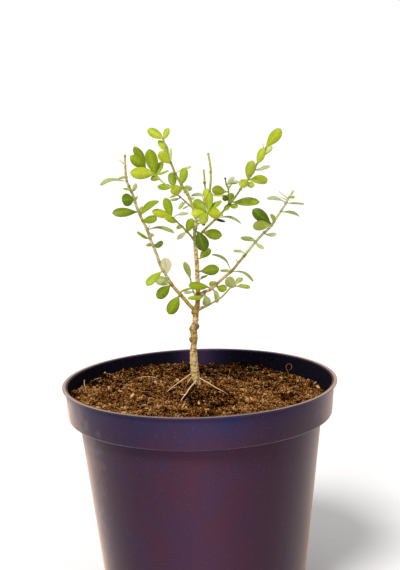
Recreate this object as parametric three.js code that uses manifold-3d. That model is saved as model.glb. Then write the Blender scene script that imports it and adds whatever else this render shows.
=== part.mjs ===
// Common boxwood bonsai in a round plastic pot.
// Millimetres, +Z up. The origin is the middle of the pot's foot, on the surface it stands on.
// The front of the tree faces -Y and its left side lies towards -X.

import * as THREE from 'three';
import { mergeVertices } from 'three/addons/utils/BufferGeometryUtils.js';
import Module from 'manifold-3d';

const wasm = await Module();
wasm.setup();

// Driving dimensions of the pot
const POT_HEIGHT = 180;
const LIP_RADIUS = 110;
const LIP_PROUD = 2.4;
const LIP_DEPTH = 3.4;
const WALL = 2;
const COLLAR_HEIGHT = 26.5;
const COLLAR_DRAFT = 2;
const BODY_TOP_RADIUS = 97.2;
const FOOT_RADIUS = 80;
const FOOT_WIDTH = 9;
const FLOOR_RAISE = 4;
const DRAIN_COUNT = 8;
const DRAIN_RADIUS = 5;
const DRAIN_CIRCLE = 52;
const POT_SIDES = 48;

// Driving dimensions of the soil
const SOIL_LEVEL = 168;
const SOIL_TILT = 4;
const MOUND_HEIGHT = 4;
const MOUND_SPREAD = 28;
const CLOD_SIZE = 17;
const CLOD_HEIGHT = 4;
const CRUMB_SIZE = 7;
const CRUMB_HEIGHT = 2.2;
const SOIL_RINGS = 9;

// Driving dimensions of the tree
const TREE_PLANE = 14;
const VIEWPOINT = new THREE.Vector3(0, -1066, 450);
const TRUNK_DEPTH = 22;
const FIT_GAP = 0.3;
const HOLE_GAP = 0.4;
const LEAF_SLIMNESS = 0.47;
const LEAF_THICKNESS = 0.7;
const PETIOLE_WIDTH = 1.1;
const LEAF_CLEARANCE = 2.8;
const STEM_SIDES = 6;
const TRUNK_SIDES = 10;

// Finishes
const plastic = new THREE.MeshStandardMaterial({ color: '#353049', roughness: 0.5, metalness: 0 });
const peat = new THREE.MeshStandardMaterial({ color: '#5a3a1c', roughness: 0.95, metalness: 0 });
const bark = new THREE.MeshStandardMaterial({ color: '#c8ae74', roughness: 0.85, metalness: 0 });
const deadLeaf = new THREE.MeshStandardMaterial({ color: '#eed8a8', roughness: 0.8, metalness: 0 });
const bareStem = new THREE.MeshStandardMaterial({ color: '#8c8a3c', roughness: 0.7, metalness: 0 });

function leafGreen(color) {
  return new THREE.MeshStandardMaterial({ color, roughness: 0.45, metalness: 0 });
}

// A closed mesh, its shared corners merged and its flat-pinched triangles dropped, as a solid
function solidOf(geometry) {
  const bare = new THREE.BufferGeometry();
  bare.setAttribute('position', geometry.getAttribute('position').clone());
  if (geometry.index) bare.setIndex(geometry.index.clone());
  const merged = mergeVertices(bare, 1e-4);
  const corners = merged.index.array;
  const kept = [];
  for (let i = 0; i < corners.length; i += 3) {
    const [a, b, c] = corners.slice(i, i + 3);
    if (a !== b && b !== c && c !== a) kept.push(a, b, c);
  }
  return new wasm.Manifold(new wasm.Mesh({
    numProp: 3,
    vertProperties: new Float32Array(merged.getAttribute('position').array),
    triVerts: new Uint32Array(kept),
  }));
}

function meshOf(name, solid, material) {
  const data = solid.getMesh();
  const geometry = new THREE.BufferGeometry();
  geometry.setAttribute('position', new THREE.Float32BufferAttribute(data.vertProperties, 3));
  geometry.setIndex(new THREE.BufferAttribute(data.triVerts, 1));
  geometry.computeVertexNormals();
  const mesh = new THREE.Mesh(geometry, material);
  mesh.name = name;
  return mesh;
}

function fuse(solids) {
  return solids.reduce((whole, next) => whole.add(next));
}

// A closed skin over rings of equal size, with a flat cap over the first and the last
function skin(rings) {
  const size = rings[0].length;
  const positions = rings.flat().flatMap((point) => [point.x, point.y, point.z]);
  const corners = [];
  for (let ring = 0; ring + 1 < rings.length; ring += 1) {
    for (let side = 0; side < size; side += 1) {
      const near = ring * size + side;
      const nearNext = ring * size + (side + 1) % size;
      corners.push(near, nearNext, nearNext + size, near, nearNext + size, near + size);
    }
  }
  const last = (rings.length - 1) * size;
  for (let side = 1; side + 1 < size; side += 1) {
    corners.push(0, side + 1, side, last, last + side, last + side + 1);
  }
  const geometry = new THREE.BufferGeometry();
  geometry.setAttribute('position', new THREE.Float32BufferAttribute(positions, 3));
  geometry.setIndex(corners);
  return solidOf(geometry);
}

// The crown is laid out in its front view: x and z in the tree's own upright plane, and how far
// behind that plane the point lies. A point off the plane moves along the line of sight, so the
// outline seen from the front stays as laid out. Layout vectors hold x, depth behind, z.
function place(layout) {
  const spread = 1 + layout.y / (TREE_PLANE - VIEWPOINT.y);
  return new THREE.Vector3(layout.x, TREE_PLANE, layout.z)
    .sub(VIEWPOINT)
    .multiplyScalar(spread)
    .add(VIEWPOINT);
}

function lengthsAlong(points) {
  const lengths = [0];
  for (let i = 1; i < points.length; i += 1) {
    lengths.push(lengths[i - 1] + points[i].distanceTo(points[i - 1]));
  }
  return lengths;
}

// The value at a share of the way through evenly spaced values
function through(values, share) {
  const steps = THREE.MathUtils.clamp(share, 0, 1) * (values.length - 1);
  const i = Math.min(Math.floor(steps), values.length - 2);
  return THREE.MathUtils.lerp(values[i], values[i + 1], steps - i);
}

// The centre line of a stem: layout points whose depth runs from one value to another
class Route {
  constructor(points, depthFrom, depthTo, bow = 0) {
    const flat = points.map(([x, z]) => new THREE.Vector3(x, 0, z));
    const lengths = lengthsAlong(flat);
    const total = lengths[lengths.length - 1];
    this.points = flat.map((point, i) => {
      const part = lengths[i] / total;
      const depth = THREE.MathUtils.lerp(depthFrom, depthTo, part) + bow * 4 * part * (1 - part);
      return new THREE.Vector3(point.x, depth, point.z);
    });
    this.lengths = lengthsAlong(this.points);
    this.total = this.lengths[this.lengths.length - 1];
  }

  at(distance) {
    const last = this.points.length - 1;
    let i = 1;
    while (i < last && this.lengths[i] < distance) i += 1;
    const part = (distance - this.lengths[i - 1]) / (this.lengths[i] - this.lengths[i - 1]);
    return this.points[i - 1].clone().lerp(this.points[i], part);
  }

  // How far along the stem the layout place x, z lies
  nearest(x, z) {
    let best = Infinity;
    let found = 0;
    for (let i = 1; i < this.points.length; i += 1) {
      const from = this.points[i - 1];
      const to = this.points[i];
      const run = new THREE.Vector2(to.x - from.x, to.z - from.z);
      const reach = new THREE.Vector2(x - from.x, z - from.z);
      const part = THREE.MathUtils.clamp(reach.dot(run) / run.lengthSq(), 0, 1);
      const miss = reach.sub(run.multiplyScalar(part)).length();
      if (miss < best) {
        best = miss;
        found = THREE.MathUtils.lerp(this.lengths[i - 1], this.lengths[i], part);
      }
    }
    return found;
  }

  // The stretch between two distances, as points in space, with the radii spread over the stem
  stretch(from, to, radii) {
    const inside = this.lengths.filter((length) => length > from + 0.4 && length < to - 0.4);
    return [from, ...inside, to].map((distance) => ({
      point: place(this.at(distance)),
      radius: through(radii, distance / this.total),
    }));
  }
}

// A round stem of changing thickness through the stations, each a point with a radius
function rod(stations, sides) {
  const points = stations.map((station) => station.point);
  let across = new THREE.Vector3(0, 1, 0);
  const rings = points.map((point, i) => {
    const before = points[Math.max(i - 1, 0)];
    const after = points[Math.min(i + 1, points.length - 1)];
    const along = after.clone().sub(before).normalize();
    across = across.clone().addScaledVector(along, -across.dot(along)).normalize();
    const beside = along.clone().cross(across);
    return Array.from({ length: sides }, (_, side) => {
      const angle = (side / sides) * 2 * Math.PI;
      return point.clone()
        .addScaledVector(across, stations[i].radius * Math.cos(angle))
        .addScaledVector(beside, stations[i].radius * Math.sin(angle));
    });
  });
  return skin(rings);
}

// A leaf is one thin blade with a petiole, widest just past its middle, its sides folded down
// from a raised midrib. Its outline stations are [way along the blade, share of the full width].
const BLADE_OUTLINE = [[0.1, 0.34], [0.4, 0.95], [0.74, 0.92], [1, 0.2]];
const BLADE_FOLD = 0.2;

function blade(root, leaf) {
  const [fromX, fromZ, toX, toZ, seenWidth, lean, { arch = 0, underside = false, shift = 0 } = {}] = leaf;
  const depth = root.depth + shift;
  const base = place(new THREE.Vector3(fromX, depth, fromZ));
  const tip = place(new THREE.Vector3(toX, depth + lean, toZ));
  const along = tip.clone().sub(base);
  const length = along.length();
  along.normalize();
  const sight = base.clone().lerp(tip, 0.5).sub(VIEWPOINT);
  sight.addScaledVector(along, -sight.dot(along)).normalize();
  const level = along.clone().cross(sight);
  if (level.z < 0) level.negate();
  const fullWidth = Math.max(seenWidth, length * LEAF_SLIMNESS);
  const facing = (underside ? -1 : 1) * seenWidth / fullWidth;
  const up = sight.clone().multiplyScalar(-facing)
    .addScaledVector(level, Math.sqrt(1 - facing * facing));
  const side = along.clone().cross(up);

  const section = (centre, halfWidth) => {
    const halfThick = LEAF_THICKNESS / 2;
    const ridge = BLADE_FOLD * halfWidth;
    const corner = (sideways, upwards) => centre.clone()
      .addScaledVector(side, sideways)
      .addScaledVector(up, upwards);
    return [
      corner(-halfWidth, halfThick), corner(0, ridge + halfThick), corner(halfWidth, halfThick),
      corner(halfWidth, -halfThick), corner(0, ridge - halfThick), corner(-halfWidth, -halfThick),
    ];
  };
  const rings = BLADE_OUTLINE.map(([part, share]) => {
    const centre = base.clone().lerp(tip, part).addScaledVector(up, arch * 4 * part * (1 - part));
    return section(centre, share * fullWidth / 2);
  });
  return skin([section(root.point, PETIOLE_WIDTH / 2), ...rings]);
}

// The place on a stem, past its start, that a leaf or spur grows from
function rootOn(route, x, z, start = 0) {
  const last = route.total - PETIOLE_WIDTH;
  const layout = route.at(THREE.MathUtils.clamp(route.nearest(x, z), start, last));
  return { point: place(layout), depth: layout.y };
}

function spur(route, [fromX, fromZ, toX, toZ, radius, lean]) {
  const root = rootOn(route, fromX, fromZ);
  const tip = place(new THREE.Vector3(toX, root.depth + lean, toZ));
  return rod([{ point: root.point, radius }, { point: tip, radius: radius * 0.6 }], STEM_SIDES);
}

// A stem that grows from another: the stump stays with its parent, the rest is a piece of its own
class Stem {
  constructor({ points, depth, bow = 0, radii, stump, leaves = [], spurs = [] }) {
    this.route = new Route(points, depth[0], depth[1], bow);
    this.radii = radii;
    this.stumpLength = stump;
    this.leaves = leaves;
    this.spurs = spurs;
  }

  stump() {
    return rod(this.route.stretch(0, this.stumpLength, this.radii), STEM_SIDES);
  }

  solid(sides = STEM_SIDES) {
    const start = this.stumpLength + FIT_GAP;
    const wood = rod(this.route.stretch(start, this.route.total, this.radii), sides);
    const blades = this.leaves.map((leaf) => (
      blade(rootOn(this.route, leaf[0], leaf[1], start + LEAF_CLEARANCE), leaf)));
    const spurs = this.spurs.map((one) => spur(this.route, one));
    return fuse([wood, ...blades, ...spurs]);
  }
}

// Pot

function arc(centreX, centreZ, radius, fromDegrees, toDegrees, steps) {
  return Array.from({ length: steps + 1 }, (_, i) => {
    const angle = THREE.MathUtils.degToRad(
      THREE.MathUtils.lerp(fromDegrees, toDegrees, i / steps));
    return new THREE.Vector2(
      centreX + radius * Math.cos(angle), centreZ + radius * Math.sin(angle));
  });
}

const COLLAR_FOOT = POT_HEIGHT - COLLAR_HEIGHT;
const COLLAR_TOP_RADIUS = LIP_RADIUS - LIP_PROUD;
const COLLAR_FOOT_RADIUS = COLLAR_TOP_RADIUS - COLLAR_DRAFT;
const FLOOR_TOP = FLOOR_RAISE + WALL;
const INNER_COLLAR_TOP = COLLAR_TOP_RADIUS - WALL;
const INNER_COLLAR_FOOT = COLLAR_FOOT_RADIUS - WALL;
const INNER_LEDGE = COLLAR_FOOT + WALL;
const INNER_BODY_TOP = BODY_TOP_RADIUS - WALL;
const INNER_FLOOR_RADIUS = FOOT_RADIUS - WALL + 0.7;

function potSolid() {
  const lipRound = LIP_DEPTH / 2;
  const point = (x, z) => new THREE.Vector2(x, z);
  const profile = [
    point(0, FLOOR_RAISE),
    point(FOOT_RADIUS - FOOT_WIDTH - 2, FLOOR_RAISE),
    point(FOOT_RADIUS - FOOT_WIDTH, 0),
    point(FOOT_RADIUS - 1, 0),
    point(FOOT_RADIUS, 1),
    point(BODY_TOP_RADIUS, COLLAR_FOOT - 1),
    point(BODY_TOP_RADIUS + 1, COLLAR_FOOT),
    ...arc(COLLAR_FOOT_RADIUS - 1.8, COLLAR_FOOT + 1.8, 1.8, -90, 0, 2),
    point(COLLAR_TOP_RADIUS, POT_HEIGHT - LIP_DEPTH),
    ...arc(LIP_RADIUS - lipRound, POT_HEIGHT - lipRound, lipRound, -90, 90, 4),
    ...arc(INNER_COLLAR_TOP + 1, POT_HEIGHT - 1, 1, 90, 180, 1),
    point(INNER_COLLAR_FOOT, INNER_LEDGE),
    point(INNER_BODY_TOP, INNER_LEDGE),
    point(INNER_FLOOR_RADIUS, FLOOR_TOP),
    point(0, FLOOR_TOP),
  ];
  const lathe = new THREE.LatheGeometry(profile, POT_SIDES).rotateX(Math.PI / 2);
  let pot = solidOf(lathe);
  for (let i = 0; i < DRAIN_COUNT; i += 1) {
    const angle = ((i + 0.5) / DRAIN_COUNT) * 2 * Math.PI;
    const outline = new THREE.Shape();
    outline.absarc(
      DRAIN_CIRCLE * Math.cos(angle), DRAIN_CIRCLE * Math.sin(angle), DRAIN_RADIUS,
      0, 2 * Math.PI, false);
    const hole = new THREE.ExtrudeGeometry(outline, {
      depth: FLOOR_TOP + 2, bevelEnabled: false, curveSegments: 5,
    });
    pot = pot.subtract(solidOf(hole));
  }
  return pot;
}

// Soil

function lattice(i, j) {
  const wave = Math.sin(i * 127.1 + j * 311.7 + 74.7) * 43758.5453;
  return wave - Math.floor(wave);
}

// Smooth seeded noise between -0.5 and 0.5
function noise(x, y) {
  const i = Math.floor(x);
  const j = Math.floor(y);
  const u = THREE.MathUtils.smoothstep(x - i, 0, 1);
  const v = THREE.MathUtils.smoothstep(y - j, 0, 1);
  const near = THREE.MathUtils.lerp(lattice(i, j), lattice(i + 1, j), u);
  const far = THREE.MathUtils.lerp(lattice(i, j + 1), lattice(i + 1, j + 1), u);
  return THREE.MathUtils.lerp(near, far, v) - 0.5;
}

function soilHeight(x, y) {
  const fromTrunk = Math.hypot(x, y - TREE_PLANE) / MOUND_SPREAD;
  return SOIL_LEVEL - SOIL_TILT * x / INNER_COLLAR_TOP
    + MOUND_HEIGHT * Math.exp(-fromTrunk * fromTrunk)
    + CLOD_HEIGHT * noise(x / CLOD_SIZE, y / CLOD_SIZE)
    + CRUMB_HEIGHT * noise(x / CRUMB_SIZE + 9, y / CRUMB_SIZE + 4);
}

// The collar's inner radius at a height above its ledge
function collarRadius(z) {
  return THREE.MathUtils.mapLinear(
    z, INNER_LEDGE, POT_HEIGHT, INNER_COLLAR_FOOT, INNER_COLLAR_TOP);
}

function soilSolid(holes) {
  const ring = (radius, height) => Array.from({ length: POT_SIDES }, (_, side) => {
    const angle = (side / POT_SIDES) * 2 * Math.PI;
    const x = radius * Math.cos(angle);
    const y = radius * Math.sin(angle);
    return new THREE.Vector3(x, y, height === undefined ? soilHeight(x, y) : height);
  });
  const rim = collarRadius(SOIL_LEVEL) - 3 * FIT_GAP;
  const top = Array.from({ length: SOIL_RINGS }, (_, i) => ring(rim * (1 - i / SOIL_RINGS)));
  const rings = [
    ring(INNER_FLOOR_RADIUS - 2 * FIT_GAP, FLOOR_TOP + FIT_GAP),
    ring(INNER_BODY_TOP - 2 * FIT_GAP, INNER_LEDGE + FIT_GAP),
    ring(INNER_COLLAR_FOOT - 2 * FIT_GAP, INNER_LEDGE + FIT_GAP),
    ...top,
  ];
  return holes.reduce((soil, hole) => soil.subtract(hole), skin(rings));
}

// Trunk, main stem and surface roots

const TRUNK_LINE = [
  [-0.2, SOIL_LEVEL - TRUNK_DEPTH, 1.9], [-0.5, 171, 2.1], [-2, 175.4, 3.1],
  [-3.2, 180.6, 3.3], [-3.9, 188.2, 3.4],
  [-4.1, 200.7, 2.8], [-4, 205, 2.3], [-3.5, 210, 3.1], [-3.6, 215.7, 2.8],
  [-3.4, 219, 3.2], [-2.4, 223, 2.6], [-1.6, 229, 2.5], [-1.5, 233, 2.9],
  [0.3, 240, 2], [0.9, 250, 1.9], [0.9, 260, 1.8], [0.8, 270, 1.8],
  [0.4, 280, 1.7], [-0.2, 290, 1.5], [-0.1, 299, 1.5], [0.3, 301, 1.9],
  [1.1, 306.6, 1.4], [1.2, 311, 1.2],
];

const ROOTS = [
  {
    points: [
      [-3, 179.4], [0.4, 177.6], [5.2, 174.8], [10, 171.5], [14.9, 168.3], [19.7, 165.5],
      [24, 162.6],
    ],
    depth: [0, -17],
    radius: 0.75,
  },
  {
    points: [
      [-3.4, 183], [-7.2, 181.2], [-10.2, 179.2], [-15.2, 175.9], [-20.2, 172.3], [-26.1, 167.8],
      [-29, 165.2],
    ],
    depth: [1, -15, 5],
    radius: 0.7,
  },
  {
    points: [[-3.6, 180.6], [-6.6, 178.4], [-9.2, 174.9], [-11, 171.5], [-13, 167.5]],
    depth: [0, -6],
    radius: 0.6,
  },
  {
    points: [[-2, 176], [-4.5, 173.6], [-8.7, 169], [-11.4, 164.9], [-14.8, 160.8], [-16.6, 157.5]],
    depth: [-1, -38],
    radius: 1,
  },
];

function trunkRoute() {
  return new Route(TRUNK_LINE.map(([x, z]) => [x, z]), 0, 0);
}

// A root, or the hole that it lies in where it is widened
function rootRod(root, widened = 0) {
  const route = new Route(root.points, ...root.depth);
  const ends = [root.radius + widened, root.radius * 0.7 + widened];
  return rod(route.stretch(0, route.total + widened, ends), STEM_SIDES);
}

// The trunk up to a station of its line, or the hole that it stands in where it is widened
function trunkRod(count, widened = 0) {
  const stations = TRUNK_LINE.slice(0, count).map(([x, z, radius]) => (
    { point: place(new THREE.Vector3(x, 0, z)), radius: radius + widened }));
  stations[0].point.z -= widened;
  return rod(stations, TRUNK_SIDES);
}

const TRUNK_SPURS = [
  [-4, 205, -7.2, 210.5, 1.1, 0], [-3.6, 215, -7, 219.5, 1.2, 0], [-2, 219, 0.9, 222, 1, 0],
  [0.6, 301, 3.8, 305.2, 0.9, 0],
];

function trunkSolid(stumps) {
  return fuse([
    trunkRod(TRUNK_LINE.length),
    ...ROOTS.map((root) => rootRod(root)),
    ...TRUNK_SPURS.map((one) => spur(trunkRoute(), one)),
    ...stumps,
  ]);
}

// Leafy stems. A leaf is [base x, base z, tip x, tip z, seen width, how far its tip leans back],
// with how far it arches, how far its base is shifted back and whether its underside shows.
// A spur is [x, z, tip x, tip z, radius, lean].

const leftLimb = new Stem({
  points: [
    [-1.8, 233.5], [-5.9, 238.2], [-9.4, 242.7], [-13.2, 247.3], [-16.7, 251.5], [-20.1, 256.1],
    [-24.6, 264.4], [-28.4, 271], [-29.8, 276.4], [-32.7, 285], [-36.4, 295.3], [-37.9, 300.7],
    [-42.5, 311], [-46.3, 322.1], [-48.2, 329], [-51.1, 336.1], [-52.6, 340.5], [-53.2, 349.2],
    [-53.2, 360.8],
  ],
  depth: [0, -32],
  radii: [1.6, 1.15, 1.05, 0.85],
  stump: 5,
  leaves: [
    [-14.8, 246, -22.8, 231.8, 9.5, -6], [-21.5, 255, -32, 245.3, 8.5, -8],
    [-20.8, 256.7, -32.6, 260.5, 7.5, 11], [-28, 266.3, -40.2, 256.5, 6, -8],
    [-33.5, 288, -38.7, 289.5, 3.5, 10], [-33, 288, -25.8, 289, 5, -11],
    [-37.2, 293.4, -45.9, 298.7, 3, -8], [-36, 294, -33.8, 298, 4, 9],
    [-36, 301, -16.6, 297.1, 2.2, -2, { arch: 3 }], [-41.1, 308.3, -30, 309.2, 6.5, -11],
    [-42.5, 312.7, -27.6, 323.4, 5.5, 4, { arch: 2.5 }], [-43, 313.5, -42, 319.5, 4, 10],
    [-46, 315, -65, 315.5, 7.5, -3], [-47.5, 325.5, -56.8, 324.8, 10, -12],
    [-47, 323, -45.5, 328, 3, 8], [-48.6, 331.7, -44.8, 337.1, 3, -7],
    [-49.9, 332, -55.4, 334.9, 2, 8], [-54.5, 339.6, -74, 338.2, 2.2, -2, { arch: 2.6 }],
    [-51.5, 343, -59.2, 343, 2.5, 8],
  ],
  spurs: [[-53.5, 353, -57.8, 356.9, 0.6, 0], [-36.9, 298.7, -36.2, 303.8, 0.5, -1]],
});

const rightLimb = new Stem({
  points: [
    [0.6, 244], [4.6, 248.4], [10.3, 250.4], [16.4, 255.1], [23, 260.8], [28.3, 265.1],
    [34.9, 272.6], [40.7, 279.4], [45.3, 284.9], [51, 291.3], [54.8, 294.9], [61, 300.8],
    [65.7, 307.7], [70.5, 314.5], [72.9, 318.4], [76.7, 324.6], [79.6, 328.7],
  ],
  depth: [0, 29],
  radii: [1.3, 1.1, 1.05, 0.8],
  stump: 4.9,
  leaves: [
    [9.5, 253, -6.1, 254.6, 6.5, -8, { shift: -5 }], [6, 245.8, -7, 243.4, 5, -9, { shift: -5 }],
    [6.6, 246, 8.5, 237.1, 7, 9], [11, 252.5, 14.9, 257.6, 5.5, 12],
    [16.4, 252.7, 23.8, 250.5, 6, -12], [13.6, 250, 18, 240.2, 4.5, 9],
    [26.8, 267, 13.5, 279.6, 2.2, -3, { arch: 3.2 }], [27, 264.8, 19.8, 266.2, 2.5, 9],
    [29.5, 264.5, 45.9, 257.2, 2.2, -5, { arch: 2.6 }], [38, 280, 30.8, 282.3, 2.2, 9],
    [38, 277.5, 45.5, 284.5, 2.5, -9], [48, 288.8, 36.5, 292.9, 3, 8],
    [48.5, 287.3, 53.9, 282.6, 2.2, -8], [56.6, 293.9, 64.8, 293.4, 2.2, -7],
    [60.4, 302.5, 46.5, 314.4, 9.5, 3], [60.5, 301.5, 46, 301.2, 8, -9, { underside: true }],
    [62.9, 303.6, 62.3, 310.6, 4, 9], [70, 311.4, 83.4, 307.4, 2.8, -4, { arch: 2 }],
    [70.2, 320.8, 58.4, 324.3, 2.2, 6], [74.8, 318.4, 87.5, 317.7, 2.2, 4],
    [76, 323, 80.2, 323.2, 2, -3],
  ],
  spurs: [
    [73, 323.1, 67.3, 328.4, 0.55, 0], [71, 323, 67.2, 324.2, 0.55, 2],
    [34, 272, 32, 274.3, 0.5, 0], [54.8, 294.4, 55.3, 297, 1, 0],
  ],
});

const lowRightTwig = new Stem({
  points: [
    [-1, 233], [6.7, 236.9], [11.9, 239.6], [16, 241.9], [20.1, 244.6], [23.8, 248.2],
    [27.3, 251.7], [31.6, 253.4],
  ],
  depth: [0, -21],
  radii: [0.85, 0.65],
  stump: 5.2,
  leaves: [
    [30.6, 251.8, 24.1, 259.8, 8, -12], [31.5, 254.5, 36.2, 259.8, 4, 10],
    [32.7, 252.6, 42.7, 252.1, 3.7, 8],
  ],
});

const lowLeftShoot = new Stem({
  points: [[0.6, 244.5], [-2.3, 248.2], [-3.4, 251.9], [-4.9, 260.5]],
  depth: [0, 16.2],
  bow: 5.4,
  radii: [0.8, 0.6],
  stump: 5.2,
  leaves: [
    [-5, 260.4, -8.7, 274.1, 5, 4], [-3.7, 252, -13.5, 250.2, 2.2, 8],
    [-3, 249, -10, 249, 2, -4],
  ],
});

const middleLeftTwig = new Stem({
  points: [
    [-0.2, 290], [-4.6, 296.3], [-7.4, 299.3], [-9.5, 302], [-13, 305.2], [-16, 308.8],
    [-18.3, 310.8],
  ],
  depth: [0, -18],
  radii: [0.9, 0.6],
  stump: 3.9,
  leaves: [
    [-9.5, 302, -14.1, 302.4, 4, 9], [-7.4, 297.9, -14.1, 292.3, 3, -6],
    [-6, 298, -2.1, 308.5, 6.5, -7], [-6, 297.5, -4.5, 303, 3, 7],
    [-18.7, 310, -22.3, 326, 7, 3], [-18, 310.5, -33.2, 315.4, 6.5, -4],
    [-14.5, 306, -24, 311, 5, -10], [-15, 311.5, -4.8, 313.3, 2.2, 6],
  ],
});

const leftLeader = new Stem({
  points: [
    [1.2, 310.6], [0, 314], [-0.9, 317.5], [-3.4, 324.8], [-5, 328.5], [-8.8, 334], [-10, 337],
    [-14.1, 344.4], [-16, 350.1], [-18, 355.1], [-19.6, 360.2], [-21.2, 366.6], [-22.8, 373],
  ],
  depth: [0, 14.4],
  radii: [1.3, 0.75],
  stump: 2.5,
  leaves: [
    [-22.3, 372.4, -34.6, 380.4, 6.6, 6], [-22.3, 372.4, -18.6, 380, 4.6, -8],
    [-18.8, 360, -25.6, 372, 6, 8], [-18, 353, -26, 362, 8, -11],
    [-17.3, 354.3, -17.2, 364.7, 3, 9], [-9.5, 336, -6, 349, 6.5, -8],
    [-12, 346, -1.5, 350.3, 2.2, 8], [-9, 333, -17.5, 331, 8, -13],
    [-7, 330, -2, 335.3, 6, 12], [-3.4, 324.8, 0.6, 324.4, 2, -2],
  ],
});

const leftSideShoot = new Stem({
  points: [
    [-8.8, 334], [-14, 333.6], [-19, 334.4], [-25, 339], [-30.5, 344.5], [-34, 347.4],
    [-37.5, 349.7],
  ],
  depth: [5.4, 32],
  radii: [0.8, 0.6],
  stump: 3.3,
  leaves: [
    [-37.5, 349.5, -44.7, 367.6, 7, 2], [-37.5, 350, -49.2, 359.5, 8, -8],
    [-29.8, 344.8, -34.3, 364.7, 10, 0], [-28.5, 344, -24.8, 355.5, 6, 9],
    [-30, 345.5, -49.7, 346.5, 10, -4], [-30, 344.5, -19, 346.5, 2.2, -6],
    [-26, 341, -34, 342.3, 5, 8], [-16, 333.5, -17, 346, 7, 7],
    [-17, 334, -28, 334.8, 5.5, 9],
  ],
});

const backShoot = new Stem({
  points: [[-0.7, 316.5], [-3.9, 319.4], [-8.8, 324.3], [-12.3, 327.6]],
  depth: [1.4, 25.2],
  radii: [0.75, 0.55],
  stump: 3,
  leaves: [
    [-12.3, 327.6, -18.9, 326.8, 2.2, 9], [-11.5, 325, -18.5, 323.5, 2, -6],
    [-7.1, 321.3, -12.9, 317.5, 3, 9], [-5.4, 317.7, -8.8, 317.2, 2, 8],
  ],
});

const centreShoot = new Stem({
  points: [[1.1, 306], [4, 307.5], [7.5, 310], [10.8, 313]],
  depth: [0, -24],
  radii: [0.9, 0.6],
  stump: 3,
  leaves: [
    [10, 313.5, -0.5, 323.3, 8, 8], [11.5, 313.5, 12.6, 329.3, 6, 8],
    [11.5, 313.5, 21, 323, 5, 8], [11, 312, 20.6, 312.5, 8.5, -12],
    [12, 312.8, 23.2, 312.1, 4, 8], [10.5, 312.5, 5, 305.1, 7.5, -12],
    [9, 313, -2, 311.7, 7, -11], [8.5, 309.5, 6, 302.6, 4, 5],
  ],
});

const leftBareShoot = new Stem({
  points: [[1.2, 309], [6, 318], [9.3, 328], [8.9, 337], [8.9, 341], [8.5, 347.4]],
  depth: [0, 16.2],
  bow: 5.4,
  radii: [0.9, 0.75],
  stump: 3.6,
  leaves: [[8.4, 326, -2, 327.5, 2.5, 7, { arch: 1 }]],
});

const rightBareShoot = new Stem({
  points: [
    [1.2, 310], [6.2, 316.5], [9.3, 321], [12, 327], [13.1, 333], [14, 342], [13.8, 350], [12.3, 360],
  ],
  depth: [0, -14.4],
  bow: -7.2,
  radii: [1, 0.8],
  stump: 3.6,
  leaves: [[11, 322, 10.5, 332, 7, 10]],
});

const rightShoot = new Stem({
  points: [
    [-0.2, 288], [4.7, 296], [9.9, 301.3], [15.1, 306], [21, 311.5], [27, 318.2], [32.1, 323.7],
    [37.4, 331], [42, 336.5], [47.8, 344.1], [51, 351], [55.9, 357], [58.3, 363.7],
  ],
  depth: [0, -18],
  bow: 7.2,
  radii: [1.05, 0.7],
  stump: 6.6,
  leaves: [
    [7, 297, 20.9, 294.2, 8.5, -10], [17, 306.7, 24, 306, 3, 9],
    [20, 308.5, 36.9, 303.4, 2.2, -4, { arch: 2.6 }], [31.3, 320.2, 52, 321, 7, -3],
    [28, 320.5, 29, 328.2, 7, 11], [28, 319, 33.9, 316.6, 4, -10],
    [27, 319.5, 25.3, 314.3, 4.5, -9], [43, 338, 37.4, 333.5, 7, -12],
    [42, 335, 48, 333.4, 5, -9], [44.9, 337.7, 59.5, 338.1, 7, 9],
    [42.6, 339.8, 47.6, 353, 8, -7], [49.5, 345.5, 61, 348, 2.2, -7],
    [51, 350.5, 56.5, 362.6, 6.5, -7], [57, 357, 62, 365, 5, 8],
    [58.3, 363.7, 70.3, 377.3, 8.5, 0],
  ],
  spurs: [[22, 312, 23.4, 315, 0.6, 2], [56.6, 360, 55.5, 366.6, 0.5, 1]],
});

const brownTippedTwig = new Stem({
  points: [[27.4, 318.8], [27.8, 326], [27.5, 331], [26, 335], [25.3, 340]],
  depth: [-0.5, -16.2],
  bow: -3.6,
  radii: [0.8, 0.5],
  stump: 3.4,
  leaves: [
    [25.2, 329, 14.8, 331.5, 7.5, -9], [26, 326, 15, 327.5, 2.2, 3],
    [26.5, 335, 32.3, 340.2, 3, -6], [27, 335, 36, 337, 2.5, 3], [28, 331, 29.5, 339, 4, 5],
    [27.5, 323, 22.6, 324.6, 4.5, -8],
  ],
});

// Leaves that stand on a stem by themselves, each with the stem's radius where it grows

function loneLeaf(route, radius, leaf) {
  const root = rootOn(route, leaf[0], leaf[1]);
  const towards = place(new THREE.Vector3(leaf[0], root.depth, leaf[1])).sub(root.point);
  root.point.addScaledVector(towards.normalize(), radius + 2.5 * FIT_GAP);
  return blade(root, leaf);
}

const MAIN_STEM_LEAVES = [
  ['main_stem_leaf_1', 1.8, [3.6, 259.2, 8.2, 262.9, 2.5, 9]],
  ['main_stem_leaf_2', 1.8, [4, 265.8, 18.4, 267.3, 8.5, -8]],
  ['main_stem_leaf_3', 1.8, [3.6, 276, 11.5, 284, 6.5, 11]],
  ['main_stem_leaf_4', 1.6, [2.6, 298, 7.5, 282.3, 10.5, -2, { shift: -5 }]],
];

const DRY_LEAF = [-22.9, 265, -25.2, 277.4, 9.5, 4, { shift: 7.4 }];

// Assembly

const stumpsOnTrunk = [
  leftLimb, rightLimb, lowRightTwig, lowLeftShoot, middleLeftTwig, leftLeader, centreShoot,
  leftBareShoot, rightBareShoot, rightShoot,
].map((stem) => stem.stump());

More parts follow.
